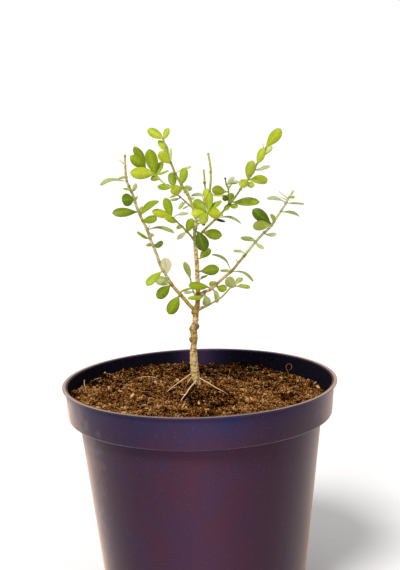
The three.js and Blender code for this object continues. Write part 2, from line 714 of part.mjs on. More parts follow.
const LEAFY = [
  ['left_limb', leftLimb, leafGreen('#7f9c1e'), []],
  ['right_limb', rightLimb, leafGreen('#6f9420'), []],
  ['low_right_twig', lowRightTwig, leafGreen('#96ac44'), []],
  ['low_left_shoot', lowLeftShoot, leafGreen('#a0b848'), []],
  ['middle_left_twig', middleLeftTwig, leafGreen('#90ae0a'), []],
  ['left_leader', leftLeader, leafGreen('#a9b93a'), [leftSideShoot, backShoot]],
  ['left_side_shoot', leftSideShoot, leafGreen('#a8be1e'), []],
  ['back_shoot', backShoot, leafGreen('#4e6a10'), []],
  ['centre_shoot', centreShoot, leafGreen('#a3ae0e'), []],
  ['left_bare_shoot', leftBareShoot, bareStem, []],
  ['right_bare_shoot', rightBareShoot, bareStem, []],
  ['right_shoot', rightShoot, leafGreen('#a3b41a'), [brownTippedTwig]],
  ['brown_tipped_twig', brownTippedTwig, leafGreen('#8a9a2a'), []],
];

const group = new THREE.Group();
group.add(meshOf('pot', potSolid(), plastic));
group.add(meshOf('soil', soilSolid([
  trunkRod(4, HOLE_GAP), ...ROOTS.map((root) => rootRod(root, HOLE_GAP)),
]), peat));
group.add(meshOf('trunk', trunkSolid(stumpsOnTrunk), bark));
for (const [name, stem, material, children] of LEAFY) {
  const solid = fuse([stem.solid(), ...children.map((child) => child.stump())]);
  group.add(meshOf(name, solid, material));
}
for (const [name, radius, leaf] of MAIN_STEM_LEAVES) {
  group.add(meshOf(name, loneLeaf(trunkRoute(), radius, leaf), leafGreen('#4f7a0a')));
}
group.add(meshOf('dry_leaf', loneLeaf(leftLimb.route, 1.25, DRY_LEAF), deadLeaf));

export default group;
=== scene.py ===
"""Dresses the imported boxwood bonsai: smooth moulded pot, crumbly peat, knotted wood, fine leaves.

Blender works in metres, +Z up, with the origin in the middle of the pot's foot. The layout values
below are in millimetres, as in the part's own source, and become metres where a mesh is made.
"""

import logging
import math
import random
from collections.abc import Callable, Sequence
from dataclasses import dataclass, field
from enum import Enum

import bmesh
import bpy
import numpy as np
from mathutils import Matrix, Vector, kdtree, noise


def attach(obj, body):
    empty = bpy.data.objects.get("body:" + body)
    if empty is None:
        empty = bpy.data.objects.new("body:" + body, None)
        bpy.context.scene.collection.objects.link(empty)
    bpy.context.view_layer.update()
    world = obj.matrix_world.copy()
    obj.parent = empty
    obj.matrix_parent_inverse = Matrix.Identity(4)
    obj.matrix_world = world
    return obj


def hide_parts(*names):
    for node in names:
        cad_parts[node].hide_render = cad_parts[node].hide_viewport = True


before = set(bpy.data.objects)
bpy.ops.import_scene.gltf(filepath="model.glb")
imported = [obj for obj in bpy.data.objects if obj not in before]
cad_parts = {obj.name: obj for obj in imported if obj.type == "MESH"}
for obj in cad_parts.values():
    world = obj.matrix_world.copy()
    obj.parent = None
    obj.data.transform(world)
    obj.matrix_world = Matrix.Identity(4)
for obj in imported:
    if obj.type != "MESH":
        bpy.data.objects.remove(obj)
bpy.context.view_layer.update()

LOG = logging.getLogger("boxwood")
MM = 0.001
BODY = "root"

# The crown is laid out in its front view: x and z in the tree's own upright plane, and how far
# behind that plane a point lies. A point off the plane moves along the line of sight.
TREE_PLANE = 14.0
VIEWPOINT = Vector((0.0, -1066.0, 450.0))

# A Mix node that mixes colours: the indices of its sockets, and its setting
MIX_A, MIX_B, MIX_RESULT = 6, 7, 2
COLOURS = {"data_type": "RGBA"}

Pair = tuple[float, float]
Colour = tuple[float, float, float, float]


def place(x: float, depth: float, z: float) -> Vector:
    """The point in the part's frame, in millimetres, of a layout point.

    Args:
        x: Its place from left to right in the front view.
        depth: How far behind the tree's own plane it lies.
        z: Its height in the front view.
    """
    spread = 1 + depth / (TREE_PLANE - VIEWPOINT.y)
    return VIEWPOINT + (Vector((x, TREE_PLANE, z)) - VIEWPOINT) * spread


def linear(colour: str) -> Colour:
    """An sRGB hex colour as linear red, green, blue and alpha."""
    channels = (int(colour[i:i + 2], 16) / 255 for i in (1, 3, 5))
    red, green, blue = (c / 12.92 if c <= 0.04045 else ((c + 0.055) / 1.055) ** 2.4 for c in channels)
    return red, green, blue, 1.0


def grain(size_mm: float) -> float:
    """The scale of a pattern on Object coordinates whose features have a real size in millimetres."""
    return 1 / (size_mm * MM)


# Finishes

class Nodes:
    """The nodes of a material or a world that is being made."""

    def __init__(self, tree: bpy.types.NodeTree, shader: str, settings: dict) -> None:
        """Takes up a node tree.

        Args:
            tree: The node tree.
            shader: The name of its shader node.
            settings: Values for that node's sockets.
        """
        self.tree = tree
        self.shader = tree.nodes[shader]
        for socket, value in settings.items():
            self.shader.inputs[socket].default_value = value

    def add(self, kind: str, settings: dict | None = None, links: dict | None = None,
            out: int | str = 0) -> bpy.types.NodeSocket:
        """Adds a shader node with its settings and links.

        Args:
            kind: The node's type, without the word ShaderNode before it.
            settings: Input values by socket name or index, other properties by name, and the stops
                of a colour ramp as (place, colour) pairs under "stops".
            links: The output that feeds each input, by socket name or index.
            out: The output that is wanted, by name or index.

        Returns:
            That output.
        """
        node = self.tree.nodes.new(f"ShaderNode{kind}")
        for key, value in (settings or {}).items():
            if key == "stops":
                elements = node.color_ramp.elements
                while len(elements) < len(value):
                    elements.new(1.0)
                for element, (at, colour) in zip(elements, value):
                    element.position, element.color = at, colour
            elif isinstance(key, int) or key in node.inputs:
                node.inputs[key].default_value = value
            else:
                setattr(node, key, value)
        self.link(node, links or {})
        return node.outputs[out]

    def link(self, node: bpy.types.Node, links: dict) -> None:
        """Feeds a node's inputs, given by name or index, from outputs."""
        for key, source in links.items():
            self.tree.links.new(source, node.inputs[key])


def new_material(name: str, settings: dict) -> tuple[bpy.types.Material, Nodes, bpy.types.NodeSocket]:
    """Starts a material.

    Args:
        name: The material's name.
        settings: Values for the sockets of its Principled shader.

    Returns:
        The material, its nodes and the output with Object coordinates.
    """
    material = bpy.data.materials.new(name)
    material.use_nodes = True
    nodes = Nodes(material.node_tree, "Principled BSDF", settings)
    return material, nodes, nodes.add("TexCoord", out="Object")


def across_blade(nodes: Nodes) -> tuple[bpy.types.NodeSocket, bpy.types.NodeSocket]:
    """How far a place on a blade is off its midrib, up to 0.5 at the edge, and how far along it."""
    axes = nodes.add("SeparateXYZ", links={"Vector": nodes.add("UVMap", {"uv_map": "blade"})}).node
    centred = nodes.add("Math", {"operation": "SUBTRACT", 1: 0.5}, {0: axes.outputs["X"]})
    return nodes.add("Math", {"operation": "ABSOLUTE"}, {0: centred}), axes.outputs["Y"]


@dataclass(frozen=True)
class MouldedPolypropylene:
    """Injection-moulded polypropylene with a satin skin, as nursery pots have.

    To the eye: a dark violet-navy, redder towards the foot of the collar, that takes a broad soft
    sheen; peat dust sticks to it. Painted on it are a shade that darkens it away from the front's
    middle, which keeps its full colour as a painted highlight, a warm sheen that reddens its right
    side, a brownish sheen on its two sides, and a pale highlight on its lip, stronger towards the
    sides. Inside it is dull and painted nearly black as shade, from a per-point attribute, but for
    a patch behind the tree that keeps a painted violet sheen.
    """

    name: str
    sheen: float = 0.85
    shine: float = 0.17
    gloss: Pair = (0.34, 0.95)
    skin: str = "#312E52"
    warm: str = "#4A2A3A"
    side_shade: str = "#B0B0BC"
    damp: str = "#0F0D18"
    lip_highlight: str = "#B89D8E"
    left_sheen: str = "#6C5450"
    right_sheen: str = "#62414C"
    dust: str = "#7A6350"
    pebble_mm: float = 0.7
    pebble_depth_mm: float = 0.06
    cloud_mm: float = 30.0
    blotch_mm: float = 10.0
    speck_mm: float = 1.6
    blue_above_mm: float = 176.0
    red_below_mm: float = 146.0
    redness: Pair = (-0.45, 0.25)
    warm_sheen_mm: Pair = (20.0, 100.0)
    warm_sheen_redness: float = 0.7
    left_sheen_mm: Pair = (-70.0, -112.0)
    right_sheen_mm: Pair = (72.0, 108.0)
    sheen_lean: float = 11.0
    front_highlight_mm: Pair = (6.0, 52.0)
    lip_highlight_mm: Pair = (179.65, 179.92)
    lip_highlight_side_mm: Pair = (40.0, 105.0)
    lip_highlight_strength: Pair = (0.4, 0.9)

    def material(self) -> bpy.types.Material:
        """Builds the finish."""
        material, nodes, here = new_material(self.name, {
            "IOR": 1.49, "Specular IOR Level": self.shine, "Specular Tint": linear("#B9B0E6"),
            "Sheen Weight": self.sheen, "Sheen Roughness": 0.27, "Sheen Tint": linear("#FFD9BC")})
        axes = nodes.add("SeparateXYZ", links={"Vector": here}).node.outputs
        off_middle = nodes.add("Math", {"operation": "ABSOLUTE"}, {0: axes["X"]})
        down = {"From Min": self.blue_above_mm * MM, "From Max": self.red_below_mm * MM}
        low = nodes.add("MapRange", {**down, "To Min": self.redness[0], "To Max": self.redness[1]},
                        {"Value": axes["Z"]})
        # Redder towards the right side: a painted warm sheen.
        right = nodes.add("MapRange", {
            "From Min": self.warm_sheen_mm[0] * MM, "From Max": self.warm_sheen_mm[1] * MM,
            "To Max": self.warm_sheen_redness}, {"Value": axes["X"]})
        redder = nodes.add("Math", {"operation": "ADD"}, {0: low, 1: right})
        cloud = nodes.add("TexNoise", {"Scale": grain(self.cloud_mm), "Detail": 4.0}, {"Vector": here})
        redness = nodes.add("Math", {"operation": "MULTIPLY_ADD", 1: 1.3, "use_clamp": True},
                            {0: cloud, 2: redder})
        base = nodes.add("Mix", {**COLOURS, MIX_A: linear(self.skin), MIX_B: linear(self.warm)},
                         {"Factor": redness}, MIX_RESULT)
        # A painted shade darkens the skin away from the front's middle, which keeps its full colour as a
        # painted highlight.
        side_shade = nodes.add("MapRange", {
            "From Min": self.front_highlight_mm[0] * MM, "From Max": self.front_highlight_mm[1] * MM, "To Max": 0.8},
            {"Value": off_middle})
        shaded_and_sheened = nodes.add("Mix", {**COLOURS, "blend_type": "MULTIPLY", MIX_B: linear(self.side_shade)},
                          {"Factor": side_shade, MIX_A: base}, MIX_RESULT)
        # A painted brownish sheen lies on the pot's two sides. It is redder on the right, patchy, and
        # leans with height.
        lower = nodes.add("MapRange", {**down, "To Max": -self.sheen_lean * MM}, {"Value": axes["Z"]})
        leaning = nodes.add("Math", {"operation": "ADD"}, {0: axes["X"], 1: lower})
        blotch = nodes.add("TexNoise", {
            "Scale": grain(self.blotch_mm), "Detail": 5.0, "Roughness": 0.6}, {"Vector": here})
        for (start, end), colour in ((self.left_sheen_mm, self.left_sheen), (self.right_sheen_mm, self.right_sheen)):
            side = nodes.add("MapRange", {
                "From Min": start * MM, "From Max": end * MM, "To Min": -1.45, "To Max": -0.05},
                {"Value": leaning})
            share = nodes.add("Math", {"operation": "MULTIPLY_ADD", 1: 1.8, "use_clamp": True},
                              {0: blotch, 2: side})
            shaded_and_sheened = nodes.add("Mix", {**COLOURS, MIX_B: linear(colour)},
                              {"Factor": share, MIX_A: shaded_and_sheened}, MIX_RESULT)
        # A painted pale highlight on the lip, stronger towards the sides.
        lip_highlight_strength = nodes.add("MapRange", {
            "From Min": self.lip_highlight_side_mm[0] * MM, "From Max": self.lip_highlight_side_mm[1] * MM,
            "To Min": self.lip_highlight_strength[0], "To Max": self.lip_highlight_strength[1]}, {"Value": off_middle})
        lip = nodes.add("MapRange", {
            "From Min": self.lip_highlight_mm[0] * MM, "From Max": self.lip_highlight_mm[1] * MM},
            {"Value": axes["Z"], "To Max": lip_highlight_strength})
        lip_highlight = nodes.add("Mix", {**COLOURS, MIX_B: linear(self.lip_highlight)},
                           {"Factor": lip, MIX_A: shaded_and_sheened}, MIX_RESULT)
        # Inside, the plastic is dull and painted nearly black as shade. A patch behind the tree is
        # spared and keeps a painted violet sheen.
        damp = nodes.add("Attribute", {"attribute_name": "damp"}, out="Fac")
        inside = nodes.add("Mix", {**COLOURS, MIX_B: linear(self.damp)},
                           {"Factor": damp, MIX_A: lip_highlight}, MIX_RESULT)
        speck = nodes.add("TexNoise", {
            "Scale": grain(self.speck_mm), "Detail": 4.0, "Roughness": 0.65}, {"Vector": here})
        settled = nodes.add("MapRange", {"From Min": 0.60, "From Max": 0.78, "To Max": 0.4},
                            {"Value": speck})
        dusty = nodes.add("Mix", {**COLOURS, MIX_B: linear(self.dust)},
                          {"Factor": settled, MIX_A: inside}, MIX_RESULT)
        pebble = nodes.add("TexNoise", {"Scale": grain(self.pebble_mm), "Detail": 2.0},
                           {"Vector": here})
        bump = nodes.add("Bump", {"Strength": 0.25, "Distance": self.pebble_depth_mm * MM},
                         {"Height": pebble})
        gloss = nodes.add("MapRange", {"To Min": self.gloss[0], "To Max": self.gloss[1]},
                          {"Value": damp})
        nodes.link(nodes.shader, {"Base Color": dusty, "Roughness": gloss, "Normal": bump})
        return material


@dataclass(frozen=True)
class PeatAndBark:
    """A loose potting mix of peat and composted bark.

    To the eye: rough brown crumbs from near black to warm tan. How light each one is comes from
    the attribute "tone", which also holds painted shade and painted highlights.
    """

    name: str
    darkest: str = "#0B0401"
    dark: str = "#331104"
    brown: str = "#65360C"
    warm: str = "#8C5A28"
    dry: str = "#C89860"
    lift: float = 0.0
    mottle_mm: float = 7.0
    fibre_mm: float = 0.8

    def material(self) -> bpy.types.Material:
        """Builds the finish."""
        material, nodes, here = new_material(self.name, {
            "Roughness": 0.93, "IOR": 1.4, "Specular IOR Level": 0.06})
        mottle = nodes.add("TexNoise", {
            "Scale": grain(self.mottle_mm), "Detail": 5.0, "Roughness": 0.6}, {"Vector": here})
        fibre = nodes.add("TexNoise", {
            "Scale": grain(self.fibre_mm), "Detail": 3.0, "Roughness": 0.7}, {"Vector": here})
        patches = nodes.add("Math", {"operation": "MULTIPLY_ADD", 1: 0.6, 2: self.lift - 0.53},
                            {0: mottle})
        grains = nodes.add("Math", {"operation": "MULTIPLY_ADD", 1: 0.45}, {0: fibre, 2: patches})
        toned = nodes.add("Math", {"operation": "ADD"}, {
            0: nodes.add("Attribute", {"attribute_name": "tone"}, out="Fac"), 1: grains})
        colour = nodes.add("ValToRGB", {"stops": [
            (0.06, linear(self.darkest)), (0.24, linear(self.dark)), (0.44, linear(self.brown)),
            (0.68, linear(self.warm)), (1.0, linear(self.dry))]}, {"Fac": toned})
        bump = nodes.add("Bump", {"Strength": 0.9, "Distance": 0.35 * MM}, {"Height": fibre})
        nodes.link(nodes.shader, {"Base Color": colour, "Normal": bump})
        return material


@dataclass(frozen=True)
class BoxwoodBark:
    """Bark of a young common box, from pale corky trunk to green twig.

    To the eye: the tone of each stretch is in the attribute "tint"; over it lie darker flakes,
    where the attribute "age" is high, fine lengthwise cracks, darker in them and lighter between
    them as a painted shade and highlight, and a brown ring at each node, from the attribute "node".
    """

    flake: str = "#84592B"
    ring: str = "#4E3A1E"
    flake_mm: float = 2.2
    crack_mm: float = 0.8
    crack_stretch: float = 0.22

    def material(self) -> bpy.types.Material:
        """Builds the finish."""
        material, nodes, here = new_material("boxwood_bark", {
            "Roughness": 0.84, "IOR": 1.45, "Specular IOR Level": 0.12})
        flakes = nodes.add("TexNoise", {
            "Scale": grain(self.flake_mm), "Detail": 4.0, "Roughness": 0.6}, {"Vector": here})
        flaked = nodes.add("MapRange", {"From Min": 0.51, "From Max": 0.6, "To Max": 0.85},
                           {"Value": flakes})
        aged = nodes.add("Math", {"operation": "MULTIPLY"}, {
            0: flaked, 1: nodes.add("Attribute", {"attribute_name": "age"}, out="Fac")})
        patched = nodes.add("Mix", {**COLOURS, MIX_B: linear(self.flake)}, {
            "Factor": aged, MIX_A: nodes.add("Attribute", {"attribute_name": "tint"})}, MIX_RESULT)
        ringed = nodes.add("Mix", {**COLOURS, MIX_B: linear(self.ring)}, {
            "Factor": nodes.add("Attribute", {"attribute_name": "node"}, out="Fac"),
            MIX_A: patched}, MIX_RESULT)
        upright = nodes.add("Mapping", {"Scale": (1.0, 1.0, self.crack_stretch)}, {"Vector": here})
        cracks = nodes.add("TexNoise", {
            "Scale": grain(self.crack_mm), "Detail": 4.0, "Roughness": 0.65}, {"Vector": upright})
        # Darker in the cracks and lighter between them: a painted shade and highlight.
        shade = nodes.add("MapRange", {
            "From Min": 0.3, "From Max": 0.62, "To Min": 0.74, "To Max": 1.16}, {"Value": cracks})
        cracked = nodes.add("VectorMath", {"operation": "SCALE"}, {0: ringed, "Scale": shade})
        bump = nodes.add("Bump", {"Strength": 0.7, "Distance": 0.25 * MM}, {"Height": cracks})
        nodes.link(nodes.shader, {"Base Color": cracked, "Normal": bump})
        return material


class LeafFace(Enum):
    """The two faces of a blade."""

    UPPER = "upper"
    UNDER = "under"


@dataclass(frozen=True)
class BoxwoodLeaf:
    """Living leaf of common box: thick, leathery and waxed above, paler and duller below.

    To the eye: the tone of each leaf is in the attribute "tint", with a pale midrib, faint side
    veins, a painted shade that darkens it towards the margin and a painted highlight in its middle,
    a thin yellowish rim, a soft mottle, and light that shows through.
    """

    face: LeafFace
    rib: str = "#C3CC5E"
    rim: str = "#BEC246"
    below: str = "#BCC77C"
    mottle_mm: float = 2.4
    veins: float = 13.0
    vein_slant: float = 3.2

    def material(self) -> bpy.types.Material:
        """Builds the finish of one face."""
        upper = self.face is LeafFace.UPPER
        material, nodes, here = new_material(f"boxwood_leaf_{self.face.value}", {
            "Roughness": 0.38 if upper else 0.6, "IOR": 1.45, "Specular IOR Level": 0.2,
            "Subsurface Weight": 0.22, "Subsurface Radius": (0.9, 1.0, 0.3),
            "Subsurface Scale": 0.8 * MM})
        aside, along = across_blade(nodes)
        rib = nodes.add("MapRange", {
            "From Min": 0.01, "From Max": 0.035, "To Min": 0.24, "To Max": 0.0}, {"Value": aside})
        slanted = nodes.add("Math", {
            "operation": "MULTIPLY_ADD", 1: -2 * self.vein_slant / self.veins}, {0: aside, 2: along})
        turned = nodes.add("Math", {"operation": "MULTIPLY", 1: math.tau * self.veins}, {0: slanted})
        wave = nodes.add("Math", {"operation": "SINE"}, {0: turned})
        vein = nodes.add("MapRange", {"From Min": 0.72, "From Max": 1.0, "To Max": 0.08},
                         {"Value": wave})
        lines = nodes.add("Math", {"operation": "MAXIMUM"}, {0: rib, 1: vein})
        mottle = nodes.add("TexNoise", {
            "Scale": grain(self.mottle_mm), "Detail": 4.0, "Roughness": 0.6}, {"Vector": here})
        cloud = nodes.add("MapRange", {
            "From Min": 0.3, "From Max": 0.7, "To Min": 0.9, "To Max": 1.16}, {"Value": mottle})
        # Lighter along the middle and darker towards the margin: a painted highlight and shade.
        middle = nodes.add("MapRange", {
            "From Min": 0.04, "From Max": 0.46, "To Min": 1.12, "To Max": 0.88}, {"Value": aside})
        depth = nodes.add("Math", {"operation": "MULTIPLY"}, {0: cloud, 1: middle})
        mottled = nodes.add("VectorMath", {"operation": "SCALE"}, {
            0: nodes.add("Attribute", {"attribute_name": "tint"}), "Scale": depth})
        edge = nodes.add("MapRange", {"From Min": 0.47, "From Max": 0.5, "To Max": 0.3},
                         {"Value": aside})
        rimmed = nodes.add("Mix", {**COLOURS, MIX_B: linear(self.rim)},
                           {"Factor": edge, MIX_A: mottled}, MIX_RESULT)
        veined = nodes.add("Mix", {**COLOURS, MIX_B: linear(self.rib)},
                           {"Factor": lines, MIX_A: rimmed}, MIX_RESULT)
        faced = nodes.add("Mix", {
            **COLOURS, "Factor": 0.0 if upper else 0.36, MIX_B: linear(self.below)},
            {MIX_A: veined}, MIX_RESULT)
        bump = nodes.add("Bump", {"Strength": 0.35, "Distance": 0.12 * MM, "invert": upper},
                         {"Height": lines})
        nodes.link(nodes.shader, {"Base Color": faced, "Normal": bump})
        return material


@dataclass(frozen=True)
class DryLeaf:
    """A dead leaf, dried to paper.

    To the eye: pale straw from the attribute "tint", dull, with a browner midrib, brown flecks and
    fine crinkles, and light that shows through.
    """

    rib: str = "#B98F56"
    fleck: str = "#C49A5C"
    fleck_mm: float = 1.8
    crinkle_mm: float = 0.9

    def material(self) -> bpy.types.Material:
        """Builds the finish."""
        material, nodes, here = new_material("dry_leaf", {
            "Roughness": 0.7, "IOR": 1.4, "Specular IOR Level": 0.25, "Subsurface Weight": 0.3,
            "Subsurface Radius": (1.0, 0.8, 0.5), "Subsurface Scale": 0.8 * MM})
        aside, _ = across_blade(nodes)
        rib = nodes.add("MapRange", {
            "From Min": 0.01, "From Max": 0.05, "To Min": 0.45, "To Max": 0.0}, {"Value": aside})
        ribbed = nodes.add("Mix", {**COLOURS, MIX_B: linear(self.rib)}, {
            "Factor": rib, MIX_A: nodes.add("Attribute", {"attribute_name": "tint"})}, MIX_RESULT)
        flecks = nodes.add("TexNoise", {
            "Scale": grain(self.fleck_mm), "Detail": 4.0, "Roughness": 0.6}, {"Vector": here})
        flecked = nodes.add("MapRange", {"From Min": 0.56, "From Max": 0.74, "To Max": 0.5},
                            {"Value": flecks})
        brown = nodes.add("Mix", {**COLOURS, MIX_B: linear(self.fleck)},
                          {"Factor": flecked, MIX_A: ribbed}, MIX_RESULT)
        crinkle = nodes.add("TexNoise", {"Scale": grain(self.crinkle_mm), "Detail": 3.0},
                            {"Vector": here})
        bump = nodes.add("Bump", {"Strength": 0.6, "Distance": 0.2 * MM}, {"Height": crinkle})
        nodes.link(nodes.shader, {"Base Color": brown, "Normal": bump})
        return material


@dataclass(frozen=True)
class StudioPaper:
    """Matte background paper: to the eye a plain pale floor with a trace of fibre."""

    sheet: str = "#FBFAF9"
    fibre_mm: float = 3.0

    def material(self) -> bpy.types.Material:
        """Builds the finish."""
        material, nodes, here = new_material("studio_paper", {
            "Base Color": linear(self.sheet), "Roughness": 0.9, "Specular IOR Level": 0.2})
        fibre = nodes.add("TexNoise", {"Scale": grain(self.fibre_mm), "Detail": 2.0}, {"Vector": here})
        bump = nodes.add("Bump", {"Strength": 0.05, "Distance": 0.1 * MM}, {"Height": fibre})
        nodes.link(nodes.shader, {"Normal": bump})
        return material


class Tone(Enum):
    """The tones of single leaves, from the youngest to the oldest, then the dull ones."""

    BRIGHT = "#D2D750"
    LIME = "#C6CE36"
    YELLOW = "#B3BC31"
    FRESH = "#A5B01F"
    SPRING = "#93A31F"
    GRASS = "#829313"
    MID = "#738314"
    DEEP = "#5F7B07"
    DARK = "#506607"
    SHADE = "#1E3208"
    CREAM = "#DDEB91"
    PALE = "#BDC672"
    SOFT = "#9EA964"
    GREY = "#ACB283"
    OLIVE = "#A3AC36"
    STRAW = "#FFF6CC"


class Bark(Enum):
    """The tones of the wood along its stems."""

    CORK = "#D9BC80"
    TAN = "#BD9858"
    SAND = "#D0B77C"
    GOLD = "#C2A458"
    KHAKI = "#CABD86"
    LICHEN = "#C9C98A"
    DRAB = "#8E8650"
    BROWN = "#8F6F3A"
    UMBER = "#5A4325"
    OLIVE = "#AFAB50"
    GREEN = "#A9B252"
    MOSS = "#92963C"
    ROOT = "#EAC898"
    RUST = "#A8683E"


# Working parts of a mesh

def put(name: str, data: bpy.types.ID) -> bpy.types.Object:
    """Puts a new object with this data in the scene, at the origin."""
    thing = bpy.data.objects.new(name, data)
    bpy.context.scene.collection.objects.link(thing)
    return thing


def evaluated_mesh(thing: bpy.types.Object) -> bpy.types.Mesh:
    """The mesh that an object's curve or modifiers make."""
    graph = bpy.context.evaluated_depsgraph_get()
    return bpy.data.meshes.new_from_object(thing.evaluated_get(graph))


def new_piece(name: str, mesh: bmesh.types.BMesh, materials: Sequence[bpy.types.Material],
              smooth: bool = True) -> bpy.types.Object:
    """Turns a bmesh into an object at the origin.

    Args:
        name: The piece's name.
        mesh: Its shape, in metres. It is freed.
        materials: Its finishes, in the order of their slots.
        smooth: Whether its faces are shaded smooth.

    Returns:
        The new object.
    """
    for face in mesh.faces:
        face.smooth = smooth
    data = bpy.data.meshes.new(name)
    mesh.to_mesh(data)
    mesh.free()
    for material in materials:
        data.materials.append(material)
    return put(name, data)


def applied(piece: bpy.types.Object) -> bpy.types.Object:
    """Gives a piece the mesh that its modifiers make, and drops the modifiers."""
    made = evaluated_mesh(piece)
    made.name = piece.name
    piece.modifiers.clear()
    piece.data = made
    return piece


def set_attribute(data: bpy.types.Mesh, name: str, kind: str, values: np.ndarray) -> None:
    """Stores one value or colour for each corner point of a mesh.

    Args:
        data: The mesh.
        name: The attribute's name.
        kind: FLOAT or FLOAT_COLOR.
        values: A row for each point.
    """
    layer = data.attributes.new(name, kind, "POINT")
    key = "color" if kind == "FLOAT_COLOR" else "value"
    layer.data.foreach_set(key, np.ascontiguousarray(values, np.float32).ravel())


def get_points(data: bpy.types.Mesh) -> np.ndarray:
    """A mesh's points in metres, one to a row."""
    values = np.empty(len(data.vertices) * 3, np.float32)
    data.vertices.foreach_get("co", values)
    return values.reshape(-1, 3)


def extruded(mesh: bmesh.types.BMesh, edges: Sequence[bmesh.types.BMEdge],
             ) -> tuple[list[bmesh.types.BMVert], list[bmesh.types.BMEdge]]:
    """Extrudes a ring of edges in place, and gives the new points and the new ring."""
    added = bmesh.ops.extrude_edge_only(mesh, edges=edges)["geom"]
    points = [part for part in added if isinstance(part, bmesh.types.BMVert)]
    return points, [part for part in added
                    if isinstance(part, bmesh.types.BMEdge) and part.is_boundary]


def point_tree(points: Sequence[Vector]) -> kdtree.KDTree:
    """A search tree of points, by their index."""
    tree = kdtree.KDTree(len(points))
    for i, point in enumerate(points):
        tree.insert(point, i)
    tree.balance()
    return tree


def declare(piece: bpy.types.Object, slot: str, *nodes: str) -> None:
    """Lets a finished piece ride on the part, hides the CAD nodes it stands for, and reports it.

    Args:
        piece: The finished piece.
        slot: Not used.
        *nodes: The CAD nodes it stands for.
    """
    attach(piece, BODY)
    if nodes:
        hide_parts(*nodes)
    LOG.info("%s: %d faces before its modifiers", piece.name, len(piece.data.polygons))


# Pot

